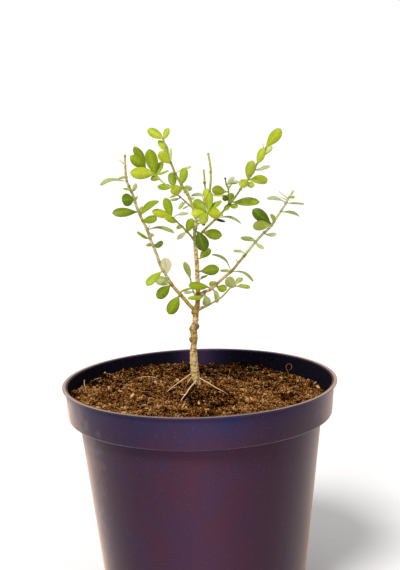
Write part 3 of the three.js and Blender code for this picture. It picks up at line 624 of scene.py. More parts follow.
@dataclass(frozen=True)
class Pot:
    """The round nursery pot: a thin tapered wall with a deep collar under a rounded lip."""

    height: float = 180.0
    lip_radius: float = 110.0
    lip_proud: float = 2.4
    lip_depth: float = 1.7
    wall: float = 2.0
    collar_height: float = 26.5
    collar_draft: float = 2.0
    body_top_radius: float = 97.2
    foot_radius: float = 80.0
    foot_width: float = 9.0
    floor_raise: float = 4.0
    floor_spread: float = 0.7
    drain_count: int = 8
    drain_radius: float = 5.0
    drain_circle: float = 52.0
    inside_slack: float = 0.6
    lip_zone: float = 3.0
    lip_slack: float = 2.1
    sheen_patch_width: float = 17.0
    sides: int = 192
    corner_steps: int = 4

    @property
    def collar_foot(self) -> float:
        """The height of the collar's lower edge."""
        return self.height - self.collar_height

    @property
    def floor_top(self) -> float:
        """The height of the floor inside."""
        return self.floor_raise + self.wall

    @property
    def inner_collar_top(self) -> float:
        """The collar's inner radius at the lip."""
        return self.lip_radius - self.lip_proud - self.wall

    @property
    def inner_collar_foot(self) -> float:
        """The collar's inner radius at its ledge."""
        return self.inner_collar_top - self.collar_draft

    @property
    def inner_ledge(self) -> float:
        """The height of the ledge where the collar meets the body."""
        return self.collar_foot + self.wall

    @property
    def inner_body_top(self) -> float:
        """The body's inner radius at the ledge."""
        return self.body_top_radius - self.wall

    @property
    def inner_floor_radius(self) -> float:
        """The inner radius at the floor."""
        return self.foot_radius - self.wall + self.floor_spread

    def collar_inside(self, z: float) -> float:
        """The collar's inner radius at a height."""
        share = (z - self.inner_ledge) / (self.height - self.inner_ledge)
        return self.inner_collar_foot + share * (self.inner_collar_top - self.inner_collar_foot)

    def outline(self) -> list[tuple[float, float, float]]:
        """The wall's section as corners, each with the radius, height and rounding."""
        collar_top = self.lip_radius - self.lip_proud
        collar_low = collar_top - self.collar_draft
        under_lip = self.height - self.lip_depth
        foot_inside = self.foot_radius - self.foot_width
        return [
            (foot_inside - 2, self.floor_raise, 0.6), (foot_inside, 0, 0.5),
            (self.foot_radius, 0, 1), (self.body_top_radius, self.collar_foot - 1, 0.8),
            (self.body_top_radius + 1, self.collar_foot, 0.3), (collar_low, self.collar_foot, 1.8),
            (collar_top, under_lip, 0.5), (self.lip_radius, under_lip + 0.5, 0.4),
            (self.lip_radius, self.height, 0.6), (self.inner_collar_top + 2.2, self.height, 0.3),
            (self.inner_collar_top, self.height - 1.1, 0.5),
            (self.inner_collar_foot, self.inner_ledge, 0.6),
            (self.inner_body_top, self.inner_ledge, 0.8),
            (self.inner_floor_radius, self.floor_top, 2.0),
        ]

    def rounded_section(self) -> list[Vector]:
        """The section with its corners turned into arcs, from the axis to the axis."""
        outline = self.outline()
        corners = [Vector((0, 0, self.floor_raise)), *(Vector((x, 0, z)) for x, z, _ in outline),
                   Vector((0, 0, self.floor_top))]
        section = [corners[0]]
        for i, (_, _, rounding) in enumerate(outline, start=1):
            back = (corners[i - 1] - corners[i]).normalized()
            ahead = (corners[i + 1] - corners[i]).normalized()
            half_angle = back.angle(ahead) / 2
            reach = rounding / math.tan(half_angle)
            centre = corners[i] + (back + ahead).normalized() * (rounding / math.sin(half_angle))
            start = corners[i] + back * reach - centre
            end = corners[i] + ahead * reach - centre
            for step in range(self.corner_steps + 1):
                section.append(centre + start.slerp(end, step / self.corner_steps) * rounding)
        section.append(corners[-1])
        return section

    def lies_inside(self, x: float, y: float, z: float) -> bool:
        """Whether a point of the pot is on its inner wall or inner floor."""
        share = (z - self.floor_top) / (self.inner_ledge - self.floor_top)
        inside = self.collar_inside(z) if share > 1 else (
            self.inner_floor_radius + share * (self.inner_body_top - self.inner_floor_radius))
        inside += self.inside_slack if z < self.height - self.lip_zone else self.lip_slack
        return share >= 0 and math.hypot(x, y) <= inside

    def painted_shade_share(self, x: float, y: float, z: float) -> float:
        """How much painted shade darkens the plastic: all of the inside, but less in a patch behind the
        tree, where the lifted shade leaves a painted violet sheen.
        """
        if not self.lies_inside(x, y, z):
            return 0.0
        return 1 - math.exp(-(x / self.sheen_patch_width) ** 2) if y > 0 else 1.0

    def drains(self) -> bpy.types.Object:
        """The plugs that cut the drain holes."""
        mesh = bmesh.new()
        for i in range(self.drain_count):
            angle = (i + 0.5) / self.drain_count * math.tau
            centre = Vector((math.cos(angle), math.sin(angle), 0)) * self.drain_circle
            centre.z = self.floor_top / 2
            bmesh.ops.create_cone(
                mesh, cap_ends=True, segments=32, radius1=self.drain_radius * MM,
                radius2=self.drain_radius * MM, depth=2 * self.floor_top * MM,
                matrix=Matrix.Translation(centre * MM))
        return new_piece("drain_plugs", mesh, [])

    def build(self) -> bpy.types.Object:
        """Spins the section, cuts the drain holes and dresses the pot."""
        mesh = bmesh.new()
        points = [mesh.verts.new(point * MM) for point in self.rounded_section()]
        lines = [mesh.edges.new(pair) for pair in zip(points, points[1:])]
        bmesh.ops.spin(
            mesh, geom=[*points, *lines], cent=(0, 0, 0), axis=(0, 0, 1), dvec=(0, 0, 0),
            angle=math.tau, steps=self.sides, use_merge=True)
        bmesh.ops.remove_doubles(mesh, verts=mesh.verts, dist=0.001 * MM)
        bmesh.ops.recalc_face_normals(mesh, faces=mesh.faces)
        piece = new_piece("pot_shell", mesh, [
            MouldedPolypropylene("moulded_polypropylene").material(),
            MouldedPolypropylene("damp_polypropylene", sheen=0.0, shine=0.07).material()])
        plugs = self.drains()
        cut = piece.modifiers.new("drain holes", "BOOLEAN")
        cut.operation, cut.solver, cut.object = "DIFFERENCE", "EXACT", plugs
        applied(piece)
        bpy.data.objects.remove(plugs)
        points = get_points(piece.data) / MM
        # The inner faces take a shaded copy of the finish, without sheen and with less shine. Each point
        # stores how much painted shade darkens it.
        for face in piece.data.polygons:
            face.material_index = int(all(self.lies_inside(*points[i]) for i in face.vertices))
        damp = [self.painted_shade_share(*point) for point in points]
        set_attribute(piece.data, "damp", "FLOAT", np.array(damp))
        declare(piece, "pot", "pot")
        return piece


# Soil

def lattice(i: float, j: float) -> float:
    """The part's own seeded value at a lattice point."""
    wave = math.sin(i * 127.1 + j * 311.7 + 74.7) * 43758.5453
    return wave - math.floor(wave)


def clods(x: float, y: float) -> float:
    """The part's own smooth noise, between -0.5 and 0.5."""
    i, j = math.floor(x), math.floor(y)
    u, v = (share * share * (3 - 2 * share) for share in (x - i, y - j))
    near = lattice(i, j) * (1 - u) + lattice(i + 1, j) * u
    far = lattice(i, j + 1) * (1 - u) + lattice(i + 1, j + 1) * u
    return near * (1 - v) + far * v - 0.5


def laid(place_mm: Sequence[float], turn: Matrix, sizes_mm: Sequence[float]) -> Matrix:
    """How a shape of half size 1 is sized, turned and laid down, in metres."""
    stretch = Matrix.Diagonal((*(size * MM for size in sizes_mm), 1))
    return Matrix.Translation(Vector(place_mm) * MM) @ turn @ stretch


@dataclass(frozen=True)
class Fibre:
    """A thin fibre that lies on the soil, by points in the part's frame."""

    points: tuple[tuple[float, float, float], ...]
    radius: float
    tone: float


@dataclass(frozen=True)
class Soil:
    """The potting mix: a lumpy bed with loose crumbs, bark chips and fibres on it."""

    pot: Pot
    level: float = 168.0
    tilt: float = 4.0
    mound_height: float = 4.0
    mound_spread: float = 28.0
    clod_size: float = 17.0
    clod_height: float = 4.0
    crumb_size: float = 7.0
    crumb_height: float = 2.2
    clearance: float = 0.3
    sides: int = 360
    rings: int = 96
    relief_mm: tuple[Pair, ...] = ((4.6, 1.5), (1.6, 1.1))
    drifts_mm: tuple[Pair, ...] = ((16.0, 0.42), (5.0, 0.3))
    crumbs: int = 9400
    grit: int = 9900
    fines: int = 9600
    chips: int = 240
    fibres: int = 60
    rim_room: float = 1.2
    fibre_rim_room: float = 1.5
    trunk_room: float = 3.4
    trunk_x: float = -1.0
    root_room: float = 1.7
    root_reach: float = 4.0
    root_dip: float = 0.5
    hollow: tuple[float, float, float, float] = (-92.0, 40.0, 46.0, 5.0)
    dark_spots: tuple[tuple[float, float, float], ...] = ((8.0, -22.0, 32.0), (-2.0, -76.0, 24.0))
    dark_spot_strength: float = 0.48
    shade_strength: float = 0.36
    shade_from: float = 20.0
    shade_to: float = 95.0
    crumb_radius: tuple[float, float, float] = (0.36, 0.2, 1.9)
    crumb_lift: float = 0.2
    grit_radius: Pair = (0.25, 0.6)
    grit_lift: float = 0.5
    grain_shape: tuple[Pair, ...] = ((0.45, 1.0), (0.45, 1.0), (0.8, 2.1))
    grain_rest: Pair = (-0.2, 0.8)
    grain_roughness: float = 0.5
    chip_length: Pair = (1.4, 4.0)
    pale_chip_length: Pair = (3.0, 4.6)
    chip_width: Pair = (0.13, 0.3)
    chip_thickness: Pair = (0.3, 0.75)
    chip_lift: Pair = (0.9, 1.9)
    chip_pitch: float = 0.4
    chip_roll: float = 0.5
    chip_roughness: float = 0.2
    chip_tone: Pair = (0.2, 0.85)
    pale_tone: float = 1.05
    fibre_steps: int = 4
    fibre_length: Pair = (3.0, 8.0)
    fibre_bend: float = 0.35
    fibre_lift: Pair = (1.0, 2.2)
    fibre_radius: Pair = (0.1, 0.2)
    fibre_tone: Pair = (0.4, 0.9)
    fibre_taper: float = 0.5
    shaded_bed_tone: float = 0.24
    grain_tone: Pair = (0.52, 0.28)
    relief_shade_per_mm: float = 0.12
    tone_shift_share: Pair = (0.5, 1.5)
    speckle: float = 0.12
    top_highlight: float = 0.2
    roots: tuple[Vector, ...] = ()
    fibre_places: tuple[Fibre, ...] = (
        Fibre(((74.6, 46.4, 168), (74.4, 48, 172), (73.2, 50.5, 174.8), (74.2, 52.5, 177.2),
               (77, 52.8, 177.4), (78, 51.2, 175), (75.6, 49, 173)), 0.34, 0.5),
        Fibre(((-95.9, 39.9, 172.6), (-95.2, 30, 171.6), (-94.1, 23.8, 170.9), (-91.0, 14, 170.7),
               (-88.6, 4.6, 170.8), (-86.6, -2, 169.4)), 0.42, 0.68),
        Fibre(((-52, 48.7, 170.5), (-46, 48.2, 171.6), (-40, 47.4, 171.5), (-35, 46.5, 170)), 0.3, 0.9),
        Fibre(((-1.4, 6, 172), (-0.2, -7.7, 171.6), (2.6, -14, 170.8), (5.1, -19.5, 170)), 0.2, 0.45),
    )
    pale_chips: tuple[Pair, ...] = (
        (-64.2, 4.7), (-53.9, -9.2), (40.5, -17), (52.3, -5.3), (58.1, -42.6), (97, 20), (-1, -31.6))

    def height_at(self, x: float, y: float) -> float:
        """The bed's height in millimetres, by the part's own formula."""
        from_trunk = math.hypot(x, y - TREE_PLANE) / self.mound_spread
        return (self.level - self.tilt * x / self.pot.inner_collar_top
                + self.mound_height * math.exp(-from_trunk * from_trunk)
                + self.clod_height * clods(x / self.clod_size, y / self.clod_size)
                + self.crumb_height * clods(x / self.crumb_size + 9, y / self.crumb_size + 4))

    def sunk_height(self, x: float, y: float) -> float:
        """The bed's height with the hollow behind at the left."""
        at_x, at_y, reach, depth = self.hollow
        return self.height_at(x, y) - depth * max(0.0, 1 - math.hypot(x - at_x, y - at_y) / reach)

    def off_roots(self, x: float, y: float) -> float:
        """The distance to the nearest bare root that is within reach sideways, or else that reach."""
        return min((math.hypot(x - root.x, y - root.y) for root in self.roots
                    if abs(x - root.x) < self.root_reach), default=self.root_reach)

    def rough_height(self, x: float, y: float) -> float:
        """The bed's height with its fine relief, which stays clear of the bare roots."""
        relief = sum(noise.noise(Vector((x / size, y / size, size))) * height
                     for size, height in self.relief_mm)
        beside = max(0.0, 1 - self.off_roots(x, y) / (2 * self.root_room))
        return self.sunk_height(x, y) + relief * (1 - beside) - self.root_dip * beside

    def tone_shift(self, x: float, y: float) -> float:
        """What a place adds to the tones there: random drifts, less in the dark spots, and less behind,
        a painted shade.
        """
        damp = max(1 - math.hypot(x - at_x, y - at_y) / reach for at_x, at_y, reach in self.dark_spots)
        behind = (y - self.shade_from) / (self.shade_to - self.shade_from)
        drift = sum(noise.noise(Vector((x / size, y / size, 3.0))) * share
                    for size, share in self.drifts_mm)
        return (drift - self.dark_spot_strength * max(0.0, damp)
                - self.shade_strength * min(max(behind, 0.0), 1.0))

    @property
    def rim(self) -> float:
        """The bed's radius at its surface."""
        return self.pot.collar_inside(self.level) - 3 * self.clearance

    def bed(self, finish: bpy.types.Material) -> bpy.types.Object:
        """The body of soil, closed down to the pot's floor."""
        mesh = bmesh.new()
        bmesh.ops.create_circle(mesh, segments=self.sides, radius=self.rim * MM)
        edges = list(mesh.edges)
        for ring in range(self.rings - 1, 0, -1):
            circle, edges = extruded(mesh, edges)
            shrink = ring / (ring + 1)
            bmesh.ops.scale(mesh, vec=(shrink, shrink, 1), verts=circle)
        bmesh.ops.pointmerge(mesh, verts=circle, merge_co=(0, 0, 0))
        for vert in mesh.verts:
            vert.co.z = self.rough_height(vert.co.x / MM, vert.co.y / MM) * MM
        edges = [edge for edge in mesh.edges if edge.is_boundary]
        pot, room = self.pot, self.clearance
        for radius, z in ((pot.inner_collar_foot, pot.inner_ledge),
                          (pot.inner_body_top, pot.inner_ledge),
                          (pot.inner_floor_radius, pot.floor_top)):
            circle, edges = extruded(mesh, edges)
            for vert in circle:
                outwards = Vector((vert.co.x, vert.co.y, 0)).normalized()
                vert.co = outwards * (radius - 2 * room) * MM + Vector((0, 0, (z + room) * MM))
        bmesh.ops.contextual_create(mesh, geom=edges)
        bmesh.ops.recalc_face_normals(mesh, faces=mesh.faces)
        piece = new_piece("soil_bed", mesh, [finish])
        draw = random.Random(5)
        # The bed is darker than the loose grains, a painted shade in the gaps between them. It is darker
        # in the hollows of its relief and lighter on its bumps, a painted shade and highlight.
        tones = [self.shaded_bed_tone + self.tone_shift(x, y) + draw.gauss(0, self.speckle)
                 + self.relief_shade_per_mm * (z - self.height_at(x, y))
                 for x, y, z in get_points(piece.data) / MM]
        set_attribute(piece.data, "tone", "FLOAT", np.array(tones))
        return piece

    def scatter(self, name: str, start: bmesh.types.BMesh, count: int, finish: bpy.types.Material,
                lay: Callable[[random.Random, int], tuple[Matrix, float, float]]) -> bpy.types.Object:
        """Repeats a small shape over the bed, each one roughened, sized and turned in its own way.

        Args:
            name: The piece's name.
            start: The shape that is repeated. It is used up.
            count: How many there are.
            finish: Their material.
            lay: Gives each one's place, its roughness as a share of its size, and its tone.

        Returns:
            One piece that holds them all.
        """
        # A bevel leaves gaps in the order of the points. A copy has none, so each repeat is one run.
        shapes = start.copy()
        start.free()
        start = shapes
        size = len(start.verts)
        while len(start.verts) < size * count:
            missing = size * count - len(start.verts)
            start.verts.ensure_lookup_table()
            start.faces.ensure_lookup_table()
            if missing >= len(start.verts):
                copied = [*start.verts, *start.edges, *start.faces]
            else:
                few = set(start.verts[:missing])
                copied = [*start.verts[:missing], *(e for e in start.edges if set(e.verts) <= few),
                          *(f for f in start.faces if set(f.verts) <= few)]
            bmesh.ops.duplicate(start, geom=copied)
        piece = new_piece(name, start, [finish], smooth=False)
        points = get_points(piece.data).reshape(count, size, 3)
        draw = random.Random(len(name) * 100 + count)
        rough = np.random.default_rng(count)
        tones = np.empty((count, size))
        for i in range(count):
            where, roughness, tone = lay(draw, i)
            wobble = 1 + roughness * rough.uniform(-1, 1, (size, 3))
            turned = (points[i] * wobble) @ np.array(where.to_3x3()).T
            points[i] = turned + np.array(where.translation)
            # Each grain is lighter at its top and darker at its foot, a painted highlight and shade.
            tones[i] = (tone + self.top_highlight * turned[:, 2] / np.abs(turned[:, 2]).max()
                        + rough.uniform(-self.speckle, self.speckle, size))
        piece.data.vertices.foreach_set("co", points.ravel())
        piece.data.update()
        set_attribute(piece.data, "tone", "FLOAT", tones.ravel())
        return piece

    def spot(self, draw: random.Random) -> Pair:
        """A place on the bed, clear of the trunk and the bare roots."""
        while True:
            radius = (self.rim - self.rim_room) * math.sqrt(draw.random())
            angle = draw.uniform(0, math.tau)
            x, y = radius * math.cos(angle), radius * math.sin(angle)
            off_trunk = math.hypot(x - self.trunk_x, y - TREE_PLANE)
            if off_trunk > self.trunk_room and self.off_roots(x, y) > self.root_room:
                return x, y

    def lay_crumb(self, draw: random.Random, _: int) -> tuple[Matrix, float, float]:
        """A crumb's place, roughness and tone: most are about 1 mm across and a few are lumps."""
        least, spread, most = self.crumb_radius
        return self.lay_round(draw, min(least + draw.expovariate(1 / spread), most), self.crumb_lift)

    def lay_grit(self, draw: random.Random, _: int) -> tuple[Matrix, float, float]:
        """A fine grain's place, roughness and tone: under 1 mm across, on top of the crumbs."""
        return self.lay_round(draw, draw.uniform(*self.grit_radius), self.grit_lift)

    def lay_round(self, draw: random.Random, radius: float, lift: float) -> tuple[Matrix, float, float]:
        """A crumb's place, roughness and tone.

        Args:
            draw: The source of its chances.
            radius: Its mean radius in millimetres.
            lift: How high above the bed its middle lies, in millimetres.
        """
        x, y = self.spot(draw)
        sizes = [radius * draw.uniform(*share) for share in self.grain_shape]
        z = self.rough_height(x, y) + lift + radius * draw.uniform(*self.grain_rest)
        turn = Matrix.Rotation(draw.uniform(0, math.tau), 4, Vector((
            draw.uniform(-1, 1), draw.uniform(-1, 1), draw.uniform(-1, 1) + 0.01)).normalized())
        tone = draw.gauss(*self.grain_tone) + self.tone_shift(x, y) * draw.uniform(*self.tone_shift_share)
        return laid((x, y, z), turn, sizes), self.grain_roughness, tone

    def lay_chip(self, draw: random.Random, index: int) -> tuple[Matrix, float, float]:
        """A bark chip's place, roughness and tone: flat and long, the first ones pale."""
        pale = index < len(self.pale_chips)
        x, y = self.pale_chips[index] if pale else self.spot(draw)
        length = draw.uniform(*(self.pale_chip_length if pale else self.chip_length))
        sizes = (length / 2, length * draw.uniform(*self.chip_width), draw.uniform(*self.chip_thickness))
        z = self.rough_height(x, y) + draw.uniform(*self.chip_lift)
        turn = (Matrix.Rotation(draw.uniform(0, math.tau), 4, "Z")
                @ Matrix.Rotation(draw.gauss(0, self.chip_pitch), 4, "Y")
                @ Matrix.Rotation(draw.gauss(0, self.chip_roll), 4, "X"))
        tone = self.pale_tone if pale else draw.uniform(*self.chip_tone) + self.tone_shift(x, y)
        return laid((x, y, z), turn, sizes), self.chip_roughness, tone

    def loose_fibres(self, finish: bpy.types.Material) -> bpy.types.Object:
        """The thin roots and fibres that lie on the bed."""
        draw = random.Random(19)
        fibres = list(self.fibre_places)
        for _ in range(self.fibres):
            x, y = self.spot(draw)
            heading, length = draw.uniform(0, math.tau), draw.uniform(*self.fibre_length)
            points = []
            for _ in range(self.fibre_steps + 1):
                heading += draw.gauss(0, self.fibre_bend)
                points.append((x, y, self.sunk_height(x, y) + draw.uniform(*self.fibre_lift)))
                x += math.cos(heading) * length / self.fibre_steps
                y += math.sin(heading) * length / self.fibre_steps
                if math.hypot(x, y) > self.rim - self.fibre_rim_room:
                    break
            if len(points) > 2:
                fibres.append(Fibre(tuple(points), draw.uniform(*self.fibre_radius),
                                    draw.uniform(*self.fibre_tone)))
        mesh = bmesh.new()
        tones = []
        for fibre in fibres:
            count = len(fibre.points)
            radii = [fibre.radius * (1 - self.fibre_taper * i / count) for i in range(count)]
            tube = tube_mesh([[Vector(point) for point in fibre.points]], [radii],
                             resolution=5, roundness=1)
            mesh.from_mesh(tube)
            tones += [fibre.tone] * len(tube.vertices)
            bpy.data.meshes.remove(tube)
        piece = new_piece("soil_fibres", mesh, [finish])
        set_attribute(piece.data, "tone", "FLOAT", np.array(tones))
        return piece

    def build(self) -> None:
        """Makes the bed and what lies on it, and dresses them."""
        declare(self.bed(PeatAndBark("peat_bed").material()), "soil", "soil")
        loose = PeatAndBark("peat_crumbs", lift=0.04).material()
        for name, count, lay in (("soil_crumbs", self.crumbs, self.lay_crumb),
                                 ("soil_grit", self.grit, self.lay_grit),
                                 ("soil_fines", self.fines, self.lay_grit)):
            crumb = bmesh.new()
            bmesh.ops.create_icosphere(crumb, subdivisions=1, radius=1)
            declare(self.scatter(name, crumb, count, loose, lay), "soil")
        chip = bmesh.new()
        bmesh.ops.create_cube(chip, size=2)
        bmesh.ops.bevel(chip, geom=chip.edges[:], offset=0.35, offset_type="OFFSET", segments=1,
                        profile=0.5, affect="EDGES", material=-1)
        bark = PeatAndBark("bark_chips", lift=0.06, dry="#D9AE72").material()
        declare(self.scatter("soil_chips", chip, self.chips, bark, self.lay_chip), "soil")
        dry = PeatAndBark("dry_fibres", lift=0.16, dry="#E6CB98").material()
        declare(self.loose_fibres(dry), "soil")


# Wood

def tube_mesh(lines: Sequence[Sequence[Vector]], radii: Sequence[Sequence[float]],
              resolution: int = 6, roundness: int = 3) -> bpy.types.Mesh:
    """Round tubes through points, smooth between them and closed at their ends.

    Args:
        lines: Each tube's points, in millimetres.
        radii: The tube's radius at each point.
        resolution: Steps between two points.
        roundness: The curve's bevel resolution.

    Returns:
        One mesh with all the tubes, in metres.
    """
    curve = bpy.data.curves.new("tubes", "CURVE")
    curve.dimensions = "3D"
    curve.bevel_depth = MM
    curve.bevel_resolution = roundness
    curve.resolution_u = resolution
    curve.use_fill_caps = True
    for points, sizes in zip(lines, radii):
        spline = curve.splines.new("BEZIER")
        spline.bezier_points.add(len(points) - 1)
        for knot, point, size in zip(spline.bezier_points, points, sizes):
            knot.co = point * MM
            knot.radius = size
            knot.handle_left_type = knot.handle_right_type = "AUTO"
    holder = put("tubes", curve)
    made = evaluated_mesh(holder)
    bpy.data.objects.remove(holder)
    bpy.data.curves.remove(curve)
    return made


class Route:
    """The centre line of a stem: layout points whose depth runs from one value to another."""

    def __init__(self, points: Sequence[Pair], depth: Pair, bow: float = 0.0) -> None:
        """Spreads the depth over the points by their distance along the front view.

        Args:
            points: The stem's x and z in the front view.
            depth: Its depth at the start and at the end.
            bow: How far its middle bows back from the straight run between those depths.
        """
        flat = [Vector((x, 0, z)) for x, z in points]
        reach = self.lengths_along(flat)
        self.points = []
        for point, length in zip(flat, reach):
            part = length / reach[-1]
            deep = depth[0] + (depth[1] - depth[0]) * part + bow * 4 * part * (1 - part)
            self.points.append(Vector((point.x, deep, point.z)))
        self.lengths = self.lengths_along(self.points)
        self.total = self.lengths[-1]

    @staticmethod
    def lengths_along(points: Sequence[Vector]) -> list[float]:
        """The distance from the first point to each, along them."""
        lengths = [0.0]
        for before, after in zip(points, points[1:]):
            lengths.append(lengths[-1] + (after - before).length)
        return lengths

    def at(self, distance: float) -> Vector:
        """The layout point at a distance along the stem."""
        i = 1
        while i < len(self.points) - 1 and self.lengths[i] < distance:
            i += 1
        part = (distance - self.lengths[i - 1]) / (self.lengths[i] - self.lengths[i - 1])
        return self.points[i - 1].lerp(self.points[i], part)

    def nearest(self, x: float, z: float) -> float:
        """How far along the stem the place x, z of the front view lies."""
        best, found = math.inf, 0.0
        for i, (start, end) in enumerate(zip(self.points, self.points[1:])):
            run = Vector((end.x - start.x, end.z - start.z))
            reach = Vector((x - start.x, z - start.z))
            part = min(max(reach.dot(run) / run.length_squared, 0), 1)
            miss = (reach - run * part).length
            if miss < best:
                best = miss
                found = self.lengths[i] + part * (self.lengths[i + 1] - self.lengths[i])
        return found


@dataclass(frozen=True)
class Leaf:
    """One blade by the x and z of its base and tip, its seen width and how far its tip leans back."""

    base: Pair
    tip: Pair
    width: float
    lean: float
    tone: Tone
    arch: float = 0.0
    shift: float = 0.0
    underside: bool = False


@dataclass(frozen=True)
class Spur:
    """A short bare twig or stub, by the x and z of its root and tip."""

    root: Pair
    tip: Pair
    radius: float
    lean: float = 0.0


@dataclass(frozen=True)
class Stem:
    """A stem with what grows on it.

    Its radii are for each of its points, or else spread evenly over it. Its tones are (share of its
    length, bark) and its knobs (x, z, radius).
    """

    name: str
    points: tuple[Pair, ...]
    depth: Pair
    radii: tuple[float, ...]
    tones: tuple[tuple[float, Bark], ...]
    stump: float = 0.0
    bow: float = 0.0
    age: float = 0.3
    slot: str = "leaf"
    leaves: tuple[Leaf, ...] = ()
    spurs: tuple[Spur, ...] = ()
    knobs: tuple[tuple[float, float, float], ...] = ()

    @property
    def route(self) -> Route:
        """The stem's centre line."""
        return Route(self.points, self.depth, self.bow)

    def radius_at(self, route: Route, distance: float) -> float:
        """The stem's radius at a distance along its route."""
        places = (route.lengths if len(self.radii) == len(route.lengths)
                  else np.linspace(0, route.total, len(self.radii)))
        return float(np.interp(distance, places, self.radii))

    def tint_at(self, share: float) -> np.ndarray:
        """The bark's linear colour at a share of the stem's length."""
        places = [at for at, _ in self.tones]
        colours = np.array([linear(bark.value) for _, bark in self.tones])
        return np.array([np.interp(share, places, colours[:, channel]) for channel in range(4)])


# How wide a leaf's stalk is, and how far past a stem's stump the first leaf grows, in millimetres
PETIOLE_WIDTH = 1.1
LEAF_CLEARANCE = 3.1


def root_distance(route: Route, x: float, z: float, start: float = 0.0) -> float:
    """How far along a stem, past its start, a leaf or spur at a place grows from it."""
    return min(max(route.nearest(x, z), start), route.total - PETIOLE_WIDTH)


def root_on(route: Route, x: float, z: float, start: float = 0.0) -> Vector:
    """The layout point on a stem, past its start, that a leaf or spur grows from."""
    return route.at(root_distance(route, x, z, start))


@dataclass(frozen=True)
class Wood:
    """All the wood as one body: trunk, roots, limbs, shoots, stubs and the swellings at nodes."""

    stems: tuple[Stem, ...]
    voxel_mm: float = 0.3
    sample_mm: float = 0.7
    node_swell: float = 1.28
    node_reach: float = 1.5
    relief: tuple[Pair, ...] = ((2.4, 0.13), (1.0, 0.07))
    stub_taper: float = 0.6
    neighbours: int = 16
    relief_radii: Pair = (0.5, 3.0)
    relief_by_age: Pair = (0.6, 0.8)
    ring_strength: float = 1.6
    ring_most: float = 0.5
    ring_by_age: Pair = (0.3, 0.7)

    def tubes(self) -> bpy.types.Mesh:
        """The stems and their stubs as plain tubes."""
        lines, radii = [], []
        for stem in self.stems:
            route = stem.route
            lines.append([place(*point) for point in route.points])
            radii.append([stem.radius_at(route, length) for length in route.lengths])
            for spur in stem.spurs:
                root = root_on(route, *spur.root)
                tip = place(spur.tip[0], root.y + spur.lean, spur.tip[1])
                lines.append([place(*root), tip])
                radii.append([spur.radius, spur.radius * self.stub_taper])
        return tube_mesh(lines, radii)

    def swellings(self) -> list[tuple[Vector, float]]:
        """The centre and radius of each knob, and of the swelling where each leaf grows."""
        found = []
        for stem in self.stems:
            route = stem.route
            for x, z, radius in stem.knobs:
                layout = root_on(route, x, z)
                found.append((place(x, layout.y, z), radius))
            for leaf in stem.leaves:
                distance = root_distance(route, *leaf.base, stem.stump + LEAF_CLEARANCE)
                found.append((place(*route.at(distance)),
                              stem.radius_at(route, distance) * self.node_swell))
        return found

    def build(self) -> bpy.types.Object:
        """Fuses the wood into one skin, gives it bark relief and colours it."""
        mesh = bmesh.new()
        tubes = self.tubes()
        mesh.from_mesh(tubes)
        bpy.data.meshes.remove(tubes)
        for centre, radius in self.swellings():
            bmesh.ops.create_icosphere(mesh, subdivisions=2, radius=radius * MM,
                                       matrix=Matrix.Translation(centre * MM))
        piece = new_piece("wood", mesh, [BoxwoodBark().material()])
        fused = piece.modifiers.new("one skin", "REMESH")
        fused.mode, fused.voxel_size = "VOXEL", self.voxel_mm * MM
        applied(piece)
        self.paint(piece.data)
        for face in piece.data.polygons:
            face.use_smooth = True
        declare(piece, "bark", "trunk")
        return piece

    def samples(self) -> tuple[list[Vector], np.ndarray, np.ndarray, np.ndarray]:
        """Points along all the stems, with the radius, age and tint of the wood at each."""
        points, radii, ages, tints = [], [], [], []
        for stem in self.stems:
            route = stem.route
            count = max(2, round(route.total / self.sample_mm))
            for i in range(count + 1):
                distance = route.total * i / count
                points.append(place(*route.at(distance)))
                radii.append(stem.radius_at(route, distance))
                ages.append(stem.age)
                tints.append(stem.tint_at(i / count))
        return points, np.array(radii), np.array(ages), np.array(tints)

    def paint(self, data: bpy.types.Mesh) -> None:
        """Moves the skin in and out as bark does and stores what its finish reads.

        Args:
            data: The fused mesh, in metres.
        """
        centres, radii, ages, tints = self.samples()
        tree = point_tree(centres)
        nodes = self.swellings()
        node_tree = point_tree([centre for centre, _ in nodes])
        points = get_points(data) / MM
        normals = np.array([vert.normal for vert in data.vertices])
        found = np.empty(len(points), int)
        ring = np.empty(len(points))
        push = np.empty(len(points))
        for i, point in enumerate(points):
            here = Vector(point)
            found[i] = min(tree.find_n(here, self.neighbours),
                           key=lambda hit: hit[2] - radii[hit[1]])[1]
            _, node, far = node_tree.find(here)
            ring[i] = max(0.0, 1 - far / (nodes[node][1] * self.node_reach))
            push[i] = sum(noise.noise(here / size) * share for size, share in self.relief)
        young, older = self.relief_by_age
        push *= np.clip(radii[found], *self.relief_radii) * (young + older * ages[found])
        points = points + normals * push[:, None]
        data.vertices.foreach_set("co", (points * MM).astype(np.float32).ravel())
        data.update()
        set_attribute(data, "tint", "FLOAT_COLOR", tints[found])
        set_attribute(data, "age", "FLOAT", ages[found])
        young, older = self.ring_by_age
        dark = np.minimum(ring * self.ring_strength, self.ring_most) * (young + older * ages[found])
        set_attribute(data, "node", "FLOAT", dark)


# Leaves

